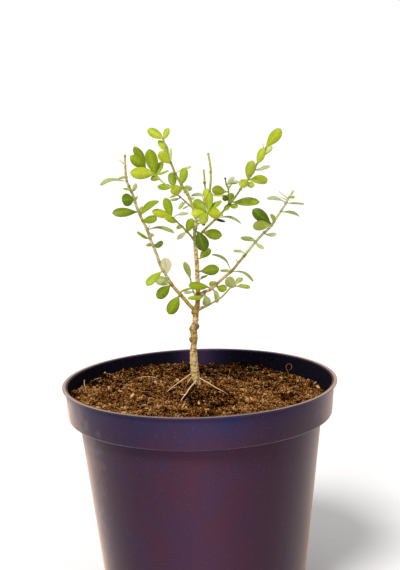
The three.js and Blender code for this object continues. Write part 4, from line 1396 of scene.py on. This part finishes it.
@dataclass(frozen=True)
class Foliage:
    """Makes blades on the bmesh of one piece."""

    upper: bpy.types.Material
    under: bpy.types.Material
    dried: bpy.types.Material
    slimness: float = 0.47
    thickness_mm: float = 0.38
    fold: float = 0.24
    across: int = 6
    along: int = 11
    petiole_rows: float = 0.14
    widest: float = 0.58
    wedge: float = 1.9
    crown: float = 2.3
    crown_root: float = 0.55
    shades: Pair = (0.92, 1.08)
    roll_degrees: float = 5.0
    twist_degrees: float = 11.0
    droop: float = 0.06
    ripple: float = 0.035
    ripple_share: Pair = (0.4, 1.0)
    ripple_along: float = 7.0
    ripple_across: float = 2.5
    fold_round: float = 1.6

    def width_share(self, part: float) -> float:
        """The share of a blade's full width at a part of its length: wedge below, round above."""
        if part < self.widest:
            return 1 - ((self.widest - part) / self.widest) ** self.wedge
        rest = (part - self.widest) / (1 - self.widest)
        return (1 - rest ** self.crown) ** self.crown_root

    def add(self, mesh: bmesh.types.BMesh, root: Vector, lift: float, leaf: Leaf,
            draw: random.Random) -> None:
        """Adds a blade.

        Args:
            mesh: The piece's bmesh, in metres.
            root: The layout point on the stem that the blade grows from.
            lift: How far from there, towards its base, its petiole starts.
            leaf: What the blade is like.
            draw: The source of its small irregularities.
        """
        depth = root.y + leaf.shift
        base = place(leaf.base[0], depth, leaf.base[1])
        tip = place(leaf.tip[0], depth + leaf.lean, leaf.tip[1])
        start = place(*root)
        start += (base - start).normalized() * lift
        along = (tip - base).normalized()
        sight = base.lerp(tip, 0.5) - VIEWPOINT
        sight = (sight - along * sight.dot(along)).normalized()
        level = along.cross(sight)
        if level.z < 0:
            level.negate()
        length = (tip - base).length
        full = max(leaf.width, length * self.slimness)
        facing = (-1 if leaf.underside else 1) * leaf.width / full
        up = level * math.sqrt(1 - facing * facing) - sight * facing
        up.rotate(Matrix.Rotation(math.radians(draw.gauss(0, self.roll_degrees)), 3, along))
        side = along.cross(up)
        bend = draw.gauss(self.droop, self.droop) * length
        twist = math.radians(draw.gauss(0, self.twist_degrees))
        ripple = draw.uniform(*self.ripple_share) * self.ripple * length
        phase = draw.uniform(0, math.tau)
        tint = mesh.verts.layers.float_color["tint"]
        colour = linear(leaf.tone.value)
        shade = draw.uniform(*self.shades)
        grid = bmesh.ops.create_grid(mesh, x_segments=self.across, y_segments=self.along, size=1,
                                     calc_uvs=True)
        for vert in grid["verts"]:
            sideways, row = vert.co.x, (vert.co.y + 1) / 2
            if row < self.petiole_rows:
                part = 0.0
                centre = start.lerp(base, row / self.petiole_rows)
            else:
                run = (row - self.petiole_rows) / (1 - self.petiole_rows)
                part = (run + math.sin(run * math.pi / 2)) / 2
                centre = base.lerp(tip, part)
                centre += up * (leaf.arch * 4 * part * (1 - part) - bend * (part ** 2 - part * 0.5))
            half = max(self.width_share(part) * full, PETIOLE_WIDTH * (1 - part)) / 2
            turn = Matrix.Rotation(twist * (part - 0.5), 3, along) if part else Matrix.Identity(3)
            wave = math.sin(self.ripple_along * part + self.ripple_across * sideways + phase)
            raised = (self.fold * half * (1 - abs(sideways) ** self.fold_round)
                      + ripple * abs(sideways) ** 2 * part * wave)
            vert.co = (centre + turn @ (side * (sideways * half) + up * raised)) * MM
            vert[tint] = (*(c * shade for c in colour[:3]), 1.0)

    def piece(self, name: str, blades: Sequence[tuple[Vector, float, Leaf]],
              dried: bool = False) -> bpy.types.Object:
        """Makes a piece of its blades.

        Args:
            name: The piece's name.
            blades: Each blade's root, the lift of its start, and what it is like.
            dried: Whether they are dead.

        Returns:
            The piece, with its thickness and smoothness in live modifiers.
        """
        mesh = bmesh.new()
        mesh.verts.layers.float_color.new("tint")
        mesh.loops.layers.uv.new("blade")
        draw = random.Random(name)
        for root, lift, leaf in blades:
            self.add(mesh, root, lift, leaf, draw)
        piece = new_piece(name, mesh, [self.dried] * 2 if dried else [self.upper, self.under])
        smooth = piece.modifiers.new("smooth outline", "SUBSURF")
        smooth.levels = smooth.render_levels = 1
        thick = piece.modifiers.new("thickness", "SOLIDIFY")
        thick.thickness, thick.offset = self.thickness_mm * MM, 0.0
        thick.material_offset = 1
        return piece


# The tree

TRUNK_LINE = (
    (-0.2, 146, 1.9), (-0.5, 171, 2.1), (-2, 175.4, 3.1), (-3.2, 180.6, 3.3), (-3.9, 188.2, 3.4),
    (-4.1, 200.7, 2.8), (-4, 205, 2.3), (-3.5, 210, 3.1), (-3.6, 215.7, 2.8), (-3.4, 219, 3.2),
    (-2.4, 223, 2.6), (-1.6, 229, 2.5), (-1.5, 233, 2.9), (0.3, 240, 2), (0.9, 250, 1.9),
    (0.9, 260, 1.8), (0.8, 270, 1.8), (0.4, 280, 1.7), (-0.2, 290, 1.5), (-0.1, 299, 1.5),
    (0.3, 301, 1.9), (1.1, 306.6, 1.4), (1.2, 311, 1.2))

TRUNK = Stem(
    name="trunk",
    points=tuple((x, z) for x, z, _ in TRUNK_LINE),
    depth=(0, 0),
    radii=tuple(radius for _, _, radius in TRUNK_LINE),
    tones=((0, Bark.CORK), (0.36, Bark.CORK), (0.39, Bark.TAN), (0.43, Bark.TAN), (0.46, Bark.CORK),
           (0.49, Bark.CORK), (0.52, Bark.GOLD), (0.64, Bark.GOLD), (0.68, Bark.SAND), (0.83, Bark.SAND),
           (0.87, Bark.LICHEN), (1, Bark.LICHEN)),
    age=1.0,
    spurs=(
        Spur((-4, 205), (-7.2, 210.5), 1.1), Spur((-3.6, 215), (-7, 219.5), 1.2),
        Spur((-2, 219), (0.9, 222), 1), Spur((0.6, 301), (3.8, 305.2), 0.9),
        Spur((2, 235), (6.8, 237.6), 0.45, -3)),
    knobs=((-5.3, 210.3, 2.2), (-5, 219, 2.1), (-1.6, 221, 2.9), (-3.4, 232.6, 1.9), (0.2, 301, 2.1),
           (0.4, 245, 2.3), (0.2, 289, 2.0), (1.2, 310, 1.7)),
)

ROOTS = (
    Stem("root_right",
         ((-3, 179.4), (0.4, 177.6), (5.2, 174.8), (10, 171.5), (14.9, 168.3), (19.7, 165.5),
          (24, 162.6)),
         (0, -17), (0.5, 0.32), ((0, Bark.ROOT), (0.75, Bark.ROOT), (0.9, Bark.RUST)), age=0.2),
    Stem("root_left",
         ((-3.4, 183), (-7.2, 181.2), (-10.2, 179.2), (-15.2, 175.9), (-20.2, 172.3),
          (-26.1, 167.8), (-29, 165.2)),
         (1, -15), (0.46, 0.32), ((0, Bark.ROOT), (1, Bark.ROOT)), bow=5, age=0.2),
    Stem("root_middle",
         ((-3.6, 180.6), (-6.6, 178.4), (-9.2, 174.9), (-11, 171.5), (-13, 167.5)),
         (0, -6), (0.36, 0.3), ((0, Bark.ROOT), (0.4, Bark.ROOT), (0.7, Bark.RUST)), age=0.2),
    Stem("root_front",
         ((-2, 176), (-4.5, 173.6), (-8.7, 169), (-11.4, 164.9), (-14.8, 160.8), (-16.6, 157.5)),
         (-1, -38), (0.72, 0.36), ((0, Bark.ROOT), (1, Bark.ROOT)), age=0.2,
         spurs=(Spur((-12, 164.5), (-16, 164.6), 0.5, -2),)),
)

LEFT_LIMB = Stem(
    name="left_limb",
    points=(
        (-1.8, 233.5), (-5.9, 238.2), (-9.4, 242.7), (-13.2, 247.3), (-16.7, 251.5),
        (-20.1, 256.1), (-24.6, 264.4), (-28.4, 271), (-29.8, 276.4), (-32.7, 285),
        (-36.4, 295.3), (-37.9, 300.7), (-42.5, 311), (-46.3, 322.1), (-48.2, 329),
        (-51.1, 336.1), (-52.6, 340.5), (-53.2, 349.2), (-53.2, 360.8)),
    depth=(0, -32), radii=(1.6, 1.15, 1.05, 0.85), stump=5, age=0.6,
    tones=((0, Bark.GOLD), (0.2, Bark.GOLD), (0.27, Bark.LICHEN), (0.34, Bark.KHAKI), (0.4, Bark.SAND),
           (0.48, Bark.LICHEN), (0.56, Bark.SAND), (0.62, Bark.OLIVE), (0.72, Bark.LICHEN),
           (0.8, Bark.OLIVE), (0.86, Bark.KHAKI), (0.9, Bark.GOLD), (0.95, Bark.SAND), (1, Bark.OLIVE)),
    leaves=(
        Leaf((-14.8, 246), (-22.8, 231.8), 9.5, -6, Tone.GRASS),
        Leaf((-21.5, 255), (-32, 245.3), 8.5, -8, Tone.MID),
        Leaf((-20.8, 256.7), (-32.6, 260.5), 7.5, 11, Tone.SOFT),
        Leaf((-28, 266.3), (-40.2, 256.5), 6, -8, Tone.SPRING),
        Leaf((-33.5, 288), (-38.7, 289.5), 3.5, 10, Tone.SOFT),
        Leaf((-33, 288), (-25.8, 289), 5, -11, Tone.DARK),
        Leaf((-37.2, 293.4), (-45.9, 298.7), 3, -8, Tone.SPRING),
        Leaf((-36, 294), (-33.8, 298), 4, 9, Tone.CREAM),
        Leaf((-36, 301), (-16.6, 297.1), 2.2, -2, Tone.SOFT, arch=3),
        Leaf((-41.1, 308.3), (-30, 309.2), 6.5, -11, Tone.MID),
        Leaf((-42.5, 312.7), (-27.6, 323.4), 5.5, 4, Tone.GRASS, arch=2.5),
        Leaf((-43, 313.5), (-42, 319.5), 4, 10, Tone.BRIGHT),
        Leaf((-46, 315), (-65, 315.5), 7.5, -3, Tone.MID),
        Leaf((-47.5, 325.5), (-56.8, 324.8), 10, -12, Tone.DEEP),
        Leaf((-47, 323), (-45.5, 328), 3, 8, Tone.BRIGHT),
        Leaf((-48.6, 331.7), (-44.8, 337.1), 3, -7, Tone.SOFT),
        Leaf((-49.9, 332), (-55.4, 334.9), 2, 8, Tone.PALE),
        Leaf((-54.5, 339.6), (-74, 338.2), 2.2, -2, Tone.SOFT, arch=2.6),
        Leaf((-51.5, 343), (-59.2, 343), 2.5, 8, Tone.SOFT)),
    spurs=(Spur((-53.5, 353), (-57.8, 356.9), 0.6), Spur((-36.9, 298.7), (-36.2, 303.8), 0.5, -1)),
    knobs=((-51.1, 336.1, 1.4), (-20.3, 256, 1.6), (-29.5, 274.5, 1.45), (-37, 298, 1.4),
           (-53.2, 360, 1.05)),
)

RIGHT_LIMB = Stem(
    name="right_limb",
    points=(
        (0.6, 244), (4.6, 248.4), (10.3, 250.4), (16.4, 255.1), (23, 260.8), (28.3, 265.1),
        (34.9, 272.6), (40.7, 279.4), (45.3, 284.9), (51, 291.3), (54.8, 294.9), (61, 300.8),
        (65.7, 307.7), (70.5, 314.5), (72.9, 318.4), (76.7, 324.6), (79.6, 328.7)),
    depth=(0, 29), radii=(1.3, 1.1, 1.05, 0.8), stump=4.9, age=0.5,
    tones=((0, Bark.ROOT), (0.18, Bark.ROOT), (0.28, Bark.GOLD), (0.44, Bark.OLIVE), (0.5, Bark.LICHEN),
           (1, Bark.LICHEN)),
    leaves=(
        Leaf((9.5, 253), (-6.1, 254.6), 6.5, -8, Tone.GRASS, shift=-5),
        Leaf((6, 245.8), (-7, 243.4), 5, -9, Tone.SPRING, shift=-5),
        Leaf((6.6, 246), (8.5, 237.1), 7, 9, Tone.CREAM),
        Leaf((11, 252.5), (14.9, 257.6), 5.5, 12, Tone.YELLOW),
        Leaf((16.4, 252.7), (23.8, 250.5), 6, -12, Tone.GRASS),
        Leaf((13.6, 250), (18, 240.2), 4.5, 9, Tone.PALE),
        Leaf((26.8, 267), (13.5, 279.6), 2.2, -3, Tone.SOFT, arch=3.2),
        Leaf((27, 264.8), (19.8, 266.2), 2.5, 9, Tone.PALE),
        Leaf((29.5, 264.5), (45.9, 257.2), 2.2, -5, Tone.SOFT, arch=2.6),
        Leaf((38, 280), (30.8, 282.3), 2.2, 9, Tone.CREAM),
        Leaf((38, 277.5), (45.5, 284.5), 2.5, -9, Tone.PALE),
        Leaf((48, 288.8), (36.5, 292.9), 3, 8, Tone.PALE),
        Leaf((48.5, 287.3), (53.9, 282.6), 2.2, -8, Tone.PALE),
        Leaf((56.6, 293.9), (64.8, 293.4), 2.2, -7, Tone.GREY),
        Leaf((60.4, 302.5), (46.5, 314.4), 9.5, 3, Tone.DARK),
        Leaf((60.5, 301.5), (46, 301.2), 8, -9, Tone.FRESH, underside=True),
        Leaf((62.9, 303.6), (62.3, 310.6), 4, 9, Tone.OLIVE),
        Leaf((70, 311.4), (83.4, 307.4), 2.8, -4, Tone.SOFT, arch=2),
        Leaf((70.2, 320.8), (58.4, 324.3), 2.2, 6, Tone.GREY),
        Leaf((74.8, 318.4), (87.5, 317.7), 2.2, 4, Tone.SOFT),
        Leaf((76, 323), (80.2, 323.2), 2, -3, Tone.OLIVE)),
    spurs=(Spur((73, 323.1), (67.3, 328.4), 0.55), Spur((71, 323), (67.2, 324.2), 0.55, 2),
           Spur((34, 272), (32, 274.3), 0.5), Spur((54.8, 294.4), (55.3, 297), 1)),
    knobs=((72.9, 318.2, 1.3), (55.2, 295.3, 1.4), (28, 265, 1.4), (16, 254.8, 1.5)),
)

LOW_RIGHT_TWIG = Stem(
    name="low_right_twig",
    points=((-1, 233), (6.7, 236.9), (11.9, 239.6), (16, 241.9), (20.1, 244.6), (23.8, 248.2),
            (27.3, 251.7), (31.6, 253.4)),
    depth=(0, -21), radii=(0.85, 0.65), stump=5.2, age=0.5,
    tones=((0, Bark.SAND), (0.12, Bark.GOLD), (0.3, Bark.DRAB), (0.5, Bark.OLIVE), (1, Bark.OLIVE)),
    leaves=(
        Leaf((30.6, 251.8), (24.1, 259.8), 8, -12, Tone.PALE),
        Leaf((31.5, 254.5), (36.2, 259.8), 4, 10, Tone.SOFT),
        Leaf((32.7, 252.6), (42.7, 252.1), 3.7, 8, Tone.OLIVE)),
)

LOW_LEFT_SHOOT = Stem(
    name="low_left_shoot",
    points=((0.6, 244.5), (-2.3, 248.2), (-3.4, 251.9), (-4.9, 260.5)),
    depth=(0, 16.2), bow=5.4, radii=(0.8, 0.6), stump=5.2,
    tones=((0, Bark.MOSS), (1, Bark.GREEN)),
    leaves=(
        Leaf((-5, 260.4), (-8.7, 274.1), 5, 4, Tone.PALE),
        Leaf((-3.7, 252), (-13.5, 250.2), 2.2, 8, Tone.YELLOW),
        Leaf((-3, 249), (-10, 249), 2, -4, Tone.GREY)),
)

MIDDLE_LEFT_TWIG = Stem(
    name="middle_left_twig",
    points=((-0.2, 290), (-4.6, 296.3), (-7.4, 299.3), (-9.5, 302), (-13, 305.2), (-16, 308.8),
            (-18.3, 310.8)),
    depth=(0, -18), radii=(0.9, 0.6), stump=3.9,
    tones=((0, Bark.OLIVE), (0.5, Bark.MOSS), (1, Bark.GREEN)),
    leaves=(
        Leaf((-9.5, 302), (-14.1, 302.4), 4, 9, Tone.OLIVE),
        Leaf((-7.4, 297.9), (-14.1, 292.3), 3, -6, Tone.GREY),
        Leaf((-6, 298), (-2.1, 308.5), 6.5, -7, Tone.SPRING),
        Leaf((-6, 297.5), (-4.5, 303), 3, 7, Tone.YELLOW),
        Leaf((-18.7, 310), (-22.3, 326), 7, 3, Tone.GRASS),
        Leaf((-18, 310.5), (-33.2, 315.4), 6.5, -4, Tone.FRESH),
        Leaf((-14.5, 306), (-24, 311), 5, -10, Tone.FRESH),
        Leaf((-15, 311.5), (-4.8, 313.3), 2.2, 6, Tone.GREY)),
)

LEFT_LEADER = Stem(
    name="left_leader",
    points=(
        (1.2, 310.6), (0, 314), (-0.9, 317.5), (-3.4, 324.8), (-5, 328.5), (-8.8, 334), (-10, 337),
        (-14.1, 344.4), (-16, 350.1), (-18, 355.1), (-19.6, 360.2), (-21.2, 366.6), (-22.8, 373)),
    depth=(0, 14.4), radii=(1.3, 0.75), stump=2.5,
    tones=((0, Bark.OLIVE), (0.3, Bark.OLIVE), (0.45, Bark.MOSS), (0.57, Bark.DRAB), (0.65, Bark.MOSS),
           (1, Bark.GREEN)),
    leaves=(
        Leaf((-22.3, 372.4), (-34.6, 380.4), 6.6, 6, Tone.FRESH),
        Leaf((-22.3, 372.4), (-18.6, 380), 4.6, -8, Tone.YELLOW),
        Leaf((-18.8, 360), (-25.6, 372), 6, 8, Tone.YELLOW),
        Leaf((-18, 353), (-26, 362), 8, -11, Tone.LIME),
        Leaf((-17.3, 354.3), (-17.2, 364.7), 3, 9, Tone.PALE),
        Leaf((-9.5, 336), (-6, 349), 6.5, -8, Tone.SPRING),
        Leaf((-12, 346), (-1.5, 350.3), 2.2, 8, Tone.PALE),
        Leaf((-9, 333), (-17.5, 331), 8, -13, Tone.YELLOW),
        Leaf((-7, 330), (-2, 335.3), 6, 12, Tone.PALE),
        Leaf((-3.4, 324.8), (0.6, 324.4), 2, -2, Tone.OLIVE)),
    spurs=(Spur((-9.3, 330.4), (-7.8, 326.8), 0.4, -1),),
    knobs=((-14.1, 344.4, 1.5), (-5, 328.3, 1.5), (-9, 334, 1.6)),
)

LEFT_SIDE_SHOOT = Stem(
    name="left_side_shoot",
    points=((-8.8, 334), (-14, 333.6), (-19, 334.4), (-25, 339), (-30.5, 344.5), (-34, 347.4),
            (-37.5, 349.7)),
    depth=(5.4, 32), radii=(0.8, 0.6), stump=3.3, age=0.15,
    tones=((0, Bark.OLIVE), (0.4, Bark.GREEN), (1, Bark.GREEN)),
    leaves=(
        Leaf((-37.5, 349.5), (-44.7, 367.6), 7, 2, Tone.GRASS),
        Leaf((-37.5, 350), (-49.2, 359.5), 8, -8, Tone.SPRING),
        Leaf((-29.8, 344.8), (-34.3, 364.7), 10, 0, Tone.GRASS),
        Leaf((-28.5, 344), (-24.8, 355.5), 6, 9, Tone.GRASS),
        Leaf((-30, 345.5), (-49.7, 346.5), 10, -4, Tone.YELLOW),
        Leaf((-30, 344.5), (-19, 346.5), 2.2, -6, Tone.SPRING),
        Leaf((-26, 341), (-34, 342.3), 5, 8, Tone.GRASS),
        Leaf((-16, 333.5), (-17, 346), 7, 7, Tone.GRASS),
        Leaf((-17, 334), (-28, 334.8), 5.5, 9, Tone.GRASS)),
)

BACK_SHOOT = Stem(
    name="back_shoot",
    points=((-0.7, 316.5), (-3.9, 319.4), (-8.8, 324.3), (-12.3, 327.6)),
    depth=(1.4, 25.2), radii=(0.75, 0.55), stump=3, age=0.7, slot="dark_leaf",
    tones=((0, Bark.MOSS), (1, Bark.MOSS)),
    leaves=(
        Leaf((-12.3, 327.6), (-18.9, 326.8), 2.2, 9, Tone.FRESH),
        Leaf((-11.5, 325), (-18.5, 323.5), 2, -6, Tone.SOFT),
        Leaf((-7.1, 321.3), (-12.9, 317.5), 3, 9, Tone.SOFT),
        Leaf((-5.4, 317.7), (-8.8, 317.2), 2, 8, Tone.GREY)),
)

CENTRE_SHOOT = Stem(
    name="centre_shoot",
    points=((1.1, 306), (4, 307.5), (7.5, 310), (10.8, 313)),
    depth=(0, -24), radii=(0.9, 0.6), stump=3, age=0.2,
    tones=((0, Bark.OLIVE), (1, Bark.GREEN)),
    leaves=(
        Leaf((10, 313.5), (-0.5, 323.3), 8, 8, Tone.GRASS),
        Leaf((11.5, 313.5), (12.6, 329.3), 6, 8, Tone.SPRING),
        Leaf((11.5, 313.5), (21, 323), 5, 8, Tone.SPRING),
        Leaf((11, 312), (20.6, 312.5), 8.5, -12, Tone.FRESH),
        Leaf((12, 312.8), (23.2, 312.1), 4, 8, Tone.YELLOW),
        Leaf((10.5, 312.5), (5, 305.1), 7.5, -12, Tone.OLIVE),
        Leaf((9, 313), (-2, 311.7), 7, -11, Tone.LIME),
        Leaf((8.5, 309.5), (6, 302.6), 4, 5, Tone.DARK)),
)

LEFT_BARE_SHOOT = Stem(
    name="left_bare_shoot",
    points=((1.2, 309), (6, 318), (9.3, 328), (8.9, 337), (8.9, 341), (8.5, 347.4)),
    depth=(0, 16.2), bow=5.4, radii=(0.9, 0.75), stump=3.6, slot="young_stem",
    tones=((0, Bark.BROWN), (0.3, Bark.OLIVE), (0.68, Bark.OLIVE), (0.73, Bark.BROWN),
           (0.8, Bark.OLIVE), (1, Bark.OLIVE)),
    leaves=(Leaf((8.4, 326), (-2, 327.5), 2.5, 7, Tone.GREY, arch=1),),
    spurs=(Spur((7.7, 323.3), (5.6, 327.4), 0.4, 1),),
    knobs=((8.9, 337, 1.4),),
)

RIGHT_BARE_SHOOT = Stem(
    name="right_bare_shoot",
    points=((1.2, 310), (6.2, 316.5), (9.3, 321), (12, 327), (13.1, 333), (14, 342), (13.8, 350),
            (12.3, 360)),
    depth=(0, -14.4), bow=-7.2, radii=(1, 0.8), stump=3.6, slot="young_stem",
    tones=((0, Bark.BROWN), (0.43, Bark.BROWN), (0.5, Bark.OLIVE), (0.75, Bark.OLIVE),
           (0.95, Bark.OLIVE), (1, Bark.KHAKI)),
    leaves=(Leaf((11, 322), (10.5, 332), 7, 10, Tone.YELLOW),),
    knobs=((13.9, 345, 1.2), (12.4, 359.4, 1.0)),
)

RIGHT_SHOOT = Stem(
    name="right_shoot",
    points=(
        (-0.2, 288), (4.7, 296), (9.9, 301.3), (15.1, 306), (21, 311.5), (27, 318.2), (32.1, 323.7),
        (37.4, 331), (42, 336.5), (47.8, 344.1), (51, 351), (55.9, 357), (58.3, 363.7)),
    depth=(0, -18), bow=7.2, radii=(1.05, 0.7), stump=6.6, age=0.4,
    tones=((0, Bark.DRAB), (0.2, Bark.OLIVE), (0.5, Bark.GREEN), (0.8, Bark.OLIVE),
           (1, Bark.GREEN)),
    leaves=(
        Leaf((7, 297), (20.9, 294.2), 8.5, -10, Tone.SPRING),
        Leaf((17, 306.7), (24, 306), 3, 9, Tone.SHADE),
        Leaf((20, 308.5), (36.9, 303.4), 2.2, -4, Tone.SOFT, arch=2.6),
        Leaf((31.3, 320.2), (52, 321), 7, -3, Tone.SPRING),
        Leaf((28, 320.5), (29, 328.2), 7, 11, Tone.MID),
        Leaf((28, 319), (33.9, 316.6), 4, -10, Tone.GRASS),
        Leaf((27, 319.5), (25.3, 314.3), 4.5, -9, Tone.SPRING),
        Leaf((43, 338), (37.4, 333.5), 7, -12, Tone.OLIVE),
        Leaf((42, 335), (48, 333.4), 5, -9, Tone.OLIVE),
        Leaf((44.9, 337.7), (59.5, 338.1), 7, 9, Tone.YELLOW),
        Leaf((42.6, 339.8), (47.6, 353), 8, -7, Tone.OLIVE),
        Leaf((49.5, 345.5), (61, 348), 2.2, -7, Tone.GREY),
        Leaf((51, 350.5), (56.5, 362.6), 6.5, -7, Tone.YELLOW),
        Leaf((57, 357), (62, 365), 5, 8, Tone.PALE),
        Leaf((58.3, 363.7), (70.3, 377.3), 8.5, 0, Tone.FRESH)),
    spurs=(Spur((22, 312), (23.4, 315), 0.6, 2), Spur((56.6, 360), (55.5, 366.6), 0.5, 1)),
    knobs=((47.8, 344.1, 1.15), (37.4, 331, 1.3), (21, 311.5, 1.35)),
)

BROWN_TIPPED_TWIG = Stem(
    name="brown_tipped_twig",
    points=((27.4, 318.8), (27.8, 326), (27.5, 331), (26, 335), (25.3, 340)),
    depth=(-0.5, -16.2), bow=-3.6, radii=(0.8, 0.5), stump=3.4,
    tones=((0, Bark.GREEN), (0.6, Bark.OLIVE), (0.85, Bark.BROWN), (1, Bark.UMBER)),
    leaves=(
        Leaf((25.2, 329), (14.8, 331.5), 7.5, -9, Tone.SPRING),
        Leaf((26, 326), (15, 327.5), 2.2, 3, Tone.BRIGHT),
        Leaf((26.5, 335), (32.3, 340.2), 3, -6, Tone.GREY),
        Leaf((27, 335), (36, 337), 2.5, 3, Tone.GREY),
        Leaf((28, 331), (29.5, 339), 4, 5, Tone.CREAM),
        Leaf((27.5, 323), (22.6, 324.6), 4.5, -8, Tone.DARK)),
    knobs=((25.3, 339.6, 0.9),),
)

LEAFY = (
    LEFT_LIMB, RIGHT_LIMB, LOW_RIGHT_TWIG, LOW_LEFT_SHOOT, MIDDLE_LEFT_TWIG, LEFT_LEADER,
    LEFT_SIDE_SHOOT, BACK_SHOOT, CENTRE_SHOOT, LEFT_BARE_SHOOT, RIGHT_BARE_SHOOT, RIGHT_SHOOT,
    BROWN_TIPPED_TWIG)


@dataclass(frozen=True)
class LoneLeaf:
    """A blade in a node of its own: the node's name, the stem's radius there, slot and blade."""

    node: str
    stem: Stem
    radius: float
    slot: str
    leaf: Leaf


LONE_LEAVES = (
    LoneLeaf("main_stem_leaf_1", TRUNK, 1.8, "dark_leaf",
             Leaf((3.6, 259.2), (8.2, 262.9), 2.5, 9, Tone.MID)),
    LoneLeaf("main_stem_leaf_2", TRUNK, 1.8, "dark_leaf",
             Leaf((4, 265.8), (18.4, 267.3), 8.5, -8, Tone.MID)),
    LoneLeaf("main_stem_leaf_3", TRUNK, 1.8, "dark_leaf",
             Leaf((3.6, 276), (11.5, 284), 6.5, 11, Tone.SPRING)),
    LoneLeaf("main_stem_leaf_4", TRUNK, 1.6, "dark_leaf",
             Leaf((2.6, 298), (7.5, 282.3), 10.5, -2, Tone.DARK, shift=-5)),
    LoneLeaf("dry_leaf", LEFT_LIMB, 1.25, "dry_leaf",
             Leaf((-22.9, 265), (-25.2, 277.4), 9.5, 4, Tone.STRAW, shift=7.4)),
)


@dataclass(frozen=True)
class Tree:
    """The boxwood: its wood and the blades of each stem."""

    petiole_lift: float = 0.6
    stems: tuple[Stem, ...] = LEAFY
    lone: tuple[LoneLeaf, ...] = LONE_LEAVES
    foliage: Foliage = field(default_factory=lambda: Foliage(
        BoxwoodLeaf(LeafFace.UPPER).material(), BoxwoodLeaf(LeafFace.UNDER).material(),
        DryLeaf().material()))

    def build(self) -> None:
        """Makes the wood, then the blades of each stem."""
        Wood((TRUNK, *ROOTS, *self.stems)).build()
        for stem in self.stems:
            route = stem.route
            blades = [(root_on(route, *leaf.base, stem.stump + LEAF_CLEARANCE), 0.0, leaf)
                      for leaf in stem.leaves]
            declare(self.foliage.piece(f"{stem.name}_leaves", blades), stem.slot, stem.name)
        for one in self.lone:
            root = root_on(one.stem.route, *one.leaf.base)
            blade = self.foliage.piece(
                f"{one.node}_blade", [(root, one.radius * self.petiole_lift, one.leaf)],
                dried=one.leaf.tone is Tone.STRAW)
            declare(blade, one.slot, one.node)


# Studio

@dataclass(frozen=True)
class Lamp:
    """A soft light panel: where it hangs, what it points at, its size, power and colour."""

    name: str
    at: tuple[float, float, float]
    aim: tuple[float, float, float]
    size: float
    watts: float
    colour: str

    def build(self) -> None:
        """Hangs the panel."""
        data = bpy.data.lights.new(self.name, "AREA")
        data.shape, data.size, data.energy = "DISK", self.size, self.watts
        data.color = linear(self.colour)[:3]
        lamp = put(self.name, data)
        lamp.location = self.at
        lamp.rotation_euler = (Vector(self.aim) - Vector(self.at)).to_track_quat("-Z", "Y").to_euler()


@dataclass(frozen=True)
class Studio:
    """A plain pale floor, soft light and the camera that stands where the photographer stood."""

    distance: float = 1.0536
    elevation: float = 14.474
    pitch: float = 4.135
    pan: float = 0.150
    roll: float = 1.804
    focal_pixels: float = 1309.5
    image_height: int = 570
    sensor: float = 36.0
    floor_radius: float = 40.0
    sky: str = "#FFFFFF"
    sky_strength: float = 0.5
    daylight: float = 2.6
    daylight_angle: float = 20.0
    daylight_turn: tuple[float, float, float] = (38.0, -12.0, -14.0)
    lamps: tuple[Lamp, ...] = (
        Lamp("left_glow", (-0.9, 1.0, 0.30), (0, 0, 0.16), 0.4, 2.0, "#F0DCE0"),
        Lamp("right_glow", (0.9, 1.0, 0.30), (0, 0, 0.16), 0.3, 0.8, "#FFC4C8"),
    )

    def camera(self) -> None:
        """Sets the camera up by its aim at the middle of the pot's lip, then its turns."""
        tilt, up_by, aside, roll = map(
            math.radians, (self.elevation, self.pitch, self.pan, self.roll))
        lip = Vector((0, 0, Pot.height * MM))
        forward = Vector((0, math.cos(tilt), -math.sin(tilt)))
        right = Vector((1, 0, 0))
        eye = lip - forward * self.distance
        forward = Matrix.Rotation(up_by, 3, right) @ forward
        up = right.cross(forward)
        turn = Matrix.Rotation(-aside, 3, up)
        right, forward = turn @ right, turn @ forward
        lean = Matrix.Rotation(roll, 3, forward)
        right, up = lean @ right, lean @ up
        data = bpy.data.cameras.new("camera")
        data.sensor_width = self.sensor
        data.lens = self.focal_pixels * self.sensor / self.image_height
        data.clip_start, data.clip_end = 0.05, 50.0
        camera = put("camera", data)
        camera.matrix_world = Matrix((
            (right.x, up.x, -forward.x, eye.x), (right.y, up.y, -forward.y, eye.y),
            (right.z, up.z, -forward.z, eye.z), (0, 0, 0, 1)))
        bpy.context.scene.camera = camera

    def build(self) -> None:
        """Lays the floor, sets the light and the camera."""
        mesh = bmesh.new()
        bmesh.ops.create_circle(mesh, cap_ends=True, segments=96, radius=self.floor_radius)
        floor = new_piece("floor", mesh, [StudioPaper().material()], smooth=False)
        world = bpy.data.worlds.new("soft sky")
        world.use_nodes = True
        nodes = Nodes(world.node_tree, "Background", {"Color": linear(self.sky)})
        strength = nodes.add("MapRange", {"To Min": self.sky_strength, "To Max": 1.0},
                             {"Value": nodes.add("LightPath", out="Is Camera Ray")})
        nodes.link(nodes.shader, {"Strength": strength})
        bpy.context.scene.world = world
        sun = bpy.data.lights.new("daylight", "SUN")
        sun.energy, sun.angle = self.daylight, math.radians(self.daylight_angle)
        window = put("daylight", sun)
        window.rotation_euler = [math.radians(angle) for angle in self.daylight_turn]
        for lamp in self.lamps:
            lamp.build()
        bpy.context.scene.view_settings.view_transform = "Standard"
        self.camera()


def main() -> None:
    """Builds the pot, the soil, the tree and the studio, in that order."""
    logging.basicConfig(level=logging.INFO, format="%(name)s: %(message)s")
    pot = Pot()
    pot.build()
    Soil(pot, roots=tuple(Wood(ROOTS).samples()[0])).build()
    Tree().build()
    Studio().build()


if __name__ == "__main__":
    main()
